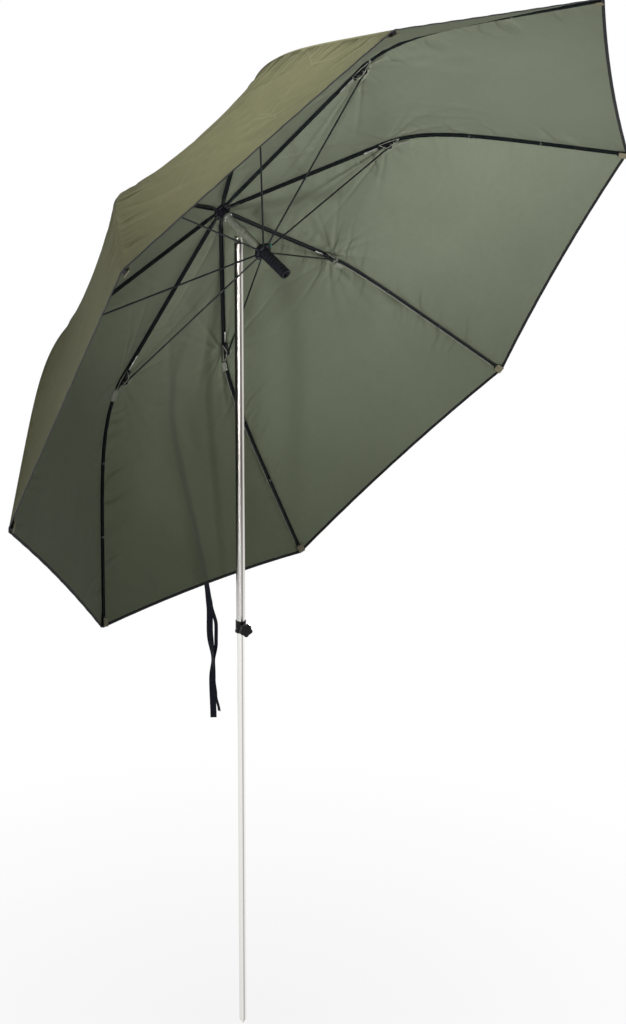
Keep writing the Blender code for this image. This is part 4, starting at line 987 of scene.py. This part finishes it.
def build_head_trim():
    """The green catch button on the runner and the bright ring where the shaft meets the crown."""
    turn = Matrix.Rotation(CATCH_TURN, 4, "Z")
    matrix = HEAD @ turn @ Matrix.Translation((CATCH_RADIUS, 0.0, -RUNNER_DROP - CATCH_DROP))
    placed_box("runner_catch", matrix, CATCH_SIZE, CATCH_BEVEL, GREEN, "runner")
    points = []
    for below, out in FERRULE_PROFILE:
        radius = SHAFT_RADIUS + out
        for angle in full_turn(FERRULE_STEPS):
            place = Vector((radius * math.cos(angle), radius * math.sin(angle), -CROWN_NECK_END - below))
            points.append(HEAD @ place)
    faces = ring_faces(len(FERRULE_PROFILE), FERRULE_STEPS)
    ferrule = solid_from("shaft_ferrule", points, faces, CHROME, FERRULE_SHARP_ANGLE)
    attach(ferrule, "head")


# Straps

STRAP_PANEL = 4
STRAP_CENTRE = 0.0115
STRAP_SHORT_OF_EDGE = 0.002
STRAP_ROWS = 120
STRAP_COLUMNS = 5
STRAP_OUTSIDE_ROWS = 40
# Their way over the cloth: a slight wave, and a bow to one side
WAVE_SIZE = 0.0012
WAVE_TURN = 9.0
WAVE_SHIFT = 40.0
BOW_SIZE = 0.028
BOW_CENTRE = 0.78
BOW_LENGTH = 0.26
# Their free tails: steps, rows that give the way they leave the cloth, and how soon they hang straight
TAIL_STEPS = 90
TAIL_LEAVE_ROWS = 3
TAIL_TURN = 2.6
# Each strap's sizes, then its tail at stated shares: sway along the rim, depth away from it and twist in degrees
STRAP = {
    "name": "hanging_strap", "node": "tie_strap",
    "width": 0.0190, "thick": 0.0012, "lift": 0.0012, "start": 0.075, "tail": 0.435,
    "places": (0.0, 0.16, 0.34, 0.57, 0.72, 1.0),
    "sway": (0.0, -0.001, -0.006, 0.004, 0.002, 0.006),
    "depth": (0.0,) * 6,
    "twist": (0.0, -22.0, -44.0, -112.0, -54.0, -46.0),
}
TIE_TAPE = {
    "name": "hanging_tape", "node": "tie_tape",
    "width": 0.0110, "thick": 0.0010, "lift": 0.0030, "start": 0.082, "tail": 0.420,
    "places": (0.0, 0.16, 0.33, 0.46, 0.58, 0.74, 0.86, 1.0),
    "sway": (0.0, 0.005, 0.020, 0.019, 0.004, 0.007, 0.015, 0.029),
    "depth": (0.0, 0.004, 0.004, 0.004, 0.010, 0.005, 0.004, 0.004),
    "twist": (0.0, -20.0, -46.0, -42.0, -112.0, -66.0, -80.0, -88.0),
}


def eased(strap, key, share):
    """A strap's value at a share of its tail, eased from each stated one to the next."""
    places, values = strap["places"], strap[key]
    for start, end, low, high in zip(places, places[1:], values, values[1:]):
        if share <= end:
            return low + (high - low) * smooth((share - start) / (end - start))
    return values[-1]


def strap_on_cloth(strap):
    """Both edges of a strap along the outside of the cloth, out to the rim."""
    width = strap["width"]
    distance = np.linspace(strap["start"], CLOTH_END - STRAP_SHORT_OF_EDGE, STRAP_ROWS)
    a, b = panel_sides(STRAP_PANEL, distance, CLOTH_LIFT)
    panel_width = np.linalg.norm(b - a, axis=-1)
    wave = WAVE_SIZE * np.sin(distance * WAVE_TURN + WAVE_SHIFT * width)
    bow = BOW_SIZE * np.exp(-((distance - BOW_CENTRE) / BOW_LENGTH) ** 2)
    edges = []
    for place in (STRAP_CENTRE + width / 2.0, STRAP_CENTRE - width / 2.0):
        share = 0.5 - (place + (wave - bow)) / panel_width
        edges.append(panel_surface(STRAP_PANEL, distance, share, CLOTH_LIFT + CLOTH_HALF + strap["lift"]))
    return edges


def strap_tail(strap, first, second):
    """Both edges of the tail that hangs from the rim, where the stated edges end."""
    across = unit(second[-1] - first[-1])
    centre = (first[-1] + second[-1]) / 2.0
    row = -1 - TAIL_LEAVE_ROWS
    leave = unit(centre - (first[row] + second[row]) / 2.0)
    down = np.array((0.0, 0.0, -1.0))
    facing = unit(np.cross(across, down))
    sides = [[], []]
    for i in range(1, TAIL_STEPS + 1):
        share = i / TAIL_STEPS
        blend = min(1.0, TAIL_TURN * share)
        heading = leave * (1.0 - blend) + down * blend
        centre = centre + unit(heading) * strap["tail"] / TAIL_STEPS
        here = centre - across * eased(strap, "sway", share)
        here = here + facing * eased(strap, "depth", share)
        angle = math.radians(eased(strap, "twist", share))
        lay = across * math.cos(angle) + facing * math.sin(angle)
        sides[0].append(here - lay * strap["width"] / 2.0)
        sides[1].append(here + lay * strap["width"] / 2.0)
    return np.array(sides)


def build_strap(strap):
    width, thick = strap["width"], strap["thick"]
    edges = strap_on_cloth(strap)
    tail = strap_tail(strap, *edges)
    first, second = (np.concatenate([edge, free]) for edge, free in zip(edges, tail))
    shares = np.linspace(0.0, 1.0, STRAP_COLUMNS)[None, :, None]
    grid = first[:, None, :] * (1.0 - shares) + second[:, None, :] * shares
    normal = outer_normals(grid, STRAP_OUTSIDE_ROWS)
    piece = two_sided(strap["name"], grid + normal * thick / 2.0, normal, thick / 2.0,
                      (MATERIALS["dark_webbing"],) * 2)
    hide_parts(strap["node"])
    fold_with_rib(piece, STRAP_PANEL)


# Light, floor and camera

FLOOR_SIZE = 60.0
FLOOR_GREY = 0.86
FLOOR_NEAR = 2.0
WORLD_LIGHT = 0.16
FULL_SPREAD = 180.0
# Places on the cloth that the lamps point at: panel, distance and share
BRIGHT_SIDE = panel_surface(1, 0.80, 0.95, 0.0)
UPPER_SIDE = panel_surface(7, 0.95, 1.0, 0.0)
REAR_SIDE = panel_surface(4, 0.75, 0.5, 0.0)
# Lamps: name, place, target, size, power, spread in degrees and colour
LAMPS = (
    ("side", (5.2, 0.6, 2.0), (0.5, 0.0, 2.6), 1.6, 35.0, FULL_SPREAD, WHITE),
    ("low_front", (1.9, -4.7, 0.8), BRIGHT_SIDE, 0.6, 4.7, 26.0, WHITE),
    ("front", (3.6, -4.6, 1.0), BRIGHT_SIDE, 1.0, 3.4, 28.0, WHITE),
    ("right_front", (4.6, -2.6, 2.4), BRIGHT_SIDE, 0.35, 4.6, 34.0, WHITE),
    ("roof", (-0.5, 0.4, 6.4), UPPER_SIDE, 0.8, 5.4, 23.0, (1.0, 0.98, 0.92)),
    ("back", (-2.6, 3.8, 1.0), REAR_SIDE, 0.5, 30.0, 46.0, (0.86, 0.97, 1.0)),
)
# The camera, fitted to the photograph
CAMERA_PLACE = (4.4361, -4.7463, 3.9104)
CAMERA_TURN = math.radians(41.205)
CAMERA_PITCH = math.radians(18.886)
CAMERA_ROLL = math.radians(-0.286)
CAMERA_REACH = 200.0
FOCAL_PIXELS = 2369.9
IMAGE_HEIGHT = 1024.0
SENSOR_SIZE = 36.0


def build_floor():
    """A pale floor that takes shadows, white where it is seen directly and a little less so near the spike."""
    bpy.ops.mesh.primitive_plane_add(size=FLOOR_SIZE, location=(0.0, 0.0, 0.0))
    floor = bpy.context.object
    floor.name = "studio_floor"
    material, tree, shader = new_material("pale_floor")
    fill(tree, shader, {"Base Color": (*(FLOOR_GREY,) * 3, 1.0), "Roughness": 0.9, "Specular IOR Level": 0.0})
    white = add_node(tree, "Emission", {"Color": (*WHITE, 1.0), "Strength": 1.0})
    near = gradient_node(tree, coordinates(tree, (1.0 / FLOOR_NEAR,) * 3), "SPHERICAL")
    share = math_node(tree, "MULTIPLY", seen_directly(tree), span(tree, near, low=1.0, high=0.88))
    mix_shaders(tree, share, shader.outputs["BSDF"], white.outputs["Emission"])
    floor.data.materials.append(material)


def build_world():
    """White where it is seen directly, and a faint light from all sides."""
    world = bpy.data.worlds.new("studio")
    bpy.context.scene.world = world
    world.use_nodes = True
    tree = world.node_tree
    strength = span(tree, seen_directly(tree), low=WORLD_LIGHT, high=1.0)
    fill(tree, tree.nodes["Background"], {"Color": (*WHITE, 1.0), "Strength": strength})


def area_light(name, place, target, size, power, spread, colour):
    data = bpy.data.lights.new(name, "AREA")
    data.shape = "DISK"
    data.size = size
    data.energy = power
    data.spread = math.radians(spread)
    data.color = colour
    lamp = link(name, data)
    lamp.location = place
    lamp.rotation_euler = (Vector(target) - Vector(place)).to_track_quat("-Z", "Y").to_euler()


def build_camera():
    right = Vector((math.cos(CAMERA_TURN), math.sin(CAMERA_TURN), 0.0))
    level = Vector((-math.sin(CAMERA_TURN), math.cos(CAMERA_TURN), 0.0))
    up = Vector((0.0, 0.0, 1.0))
    forward = level * math.cos(CAMERA_PITCH) - up * math.sin(CAMERA_PITCH)
    below = -(up * math.cos(CAMERA_PITCH) + level * math.sin(CAMERA_PITCH))
    across = right * math.cos(CAMERA_ROLL) + below * math.sin(CAMERA_ROLL)
    down = below * math.cos(CAMERA_ROLL) - right * math.sin(CAMERA_ROLL)
    data = bpy.data.cameras.new("camera")
    data.sensor_fit = "AUTO"
    data.sensor_width = SENSOR_SIZE
    data.lens = FOCAL_PIXELS / IMAGE_HEIGHT * SENSOR_SIZE
    data.clip_end = CAMERA_REACH
    camera = link("camera", data)
    matrix = Matrix((across, -down, -forward)).transposed().to_4x4()
    matrix.translation = Vector(CAMERA_PLACE)
    camera.matrix_world = matrix
    bpy.context.scene.camera = camera


dress_frame()
build_camera()
build_gores()
build_rib_trim()
build_head_trim()
build_strap(STRAP)
build_strap(TIE_TAPE)
build_floor()
build_world()
for lamp in LAMPS:
    area_light(*lamp)
bpy.context.scene.view_settings.view_transform = "Standard"
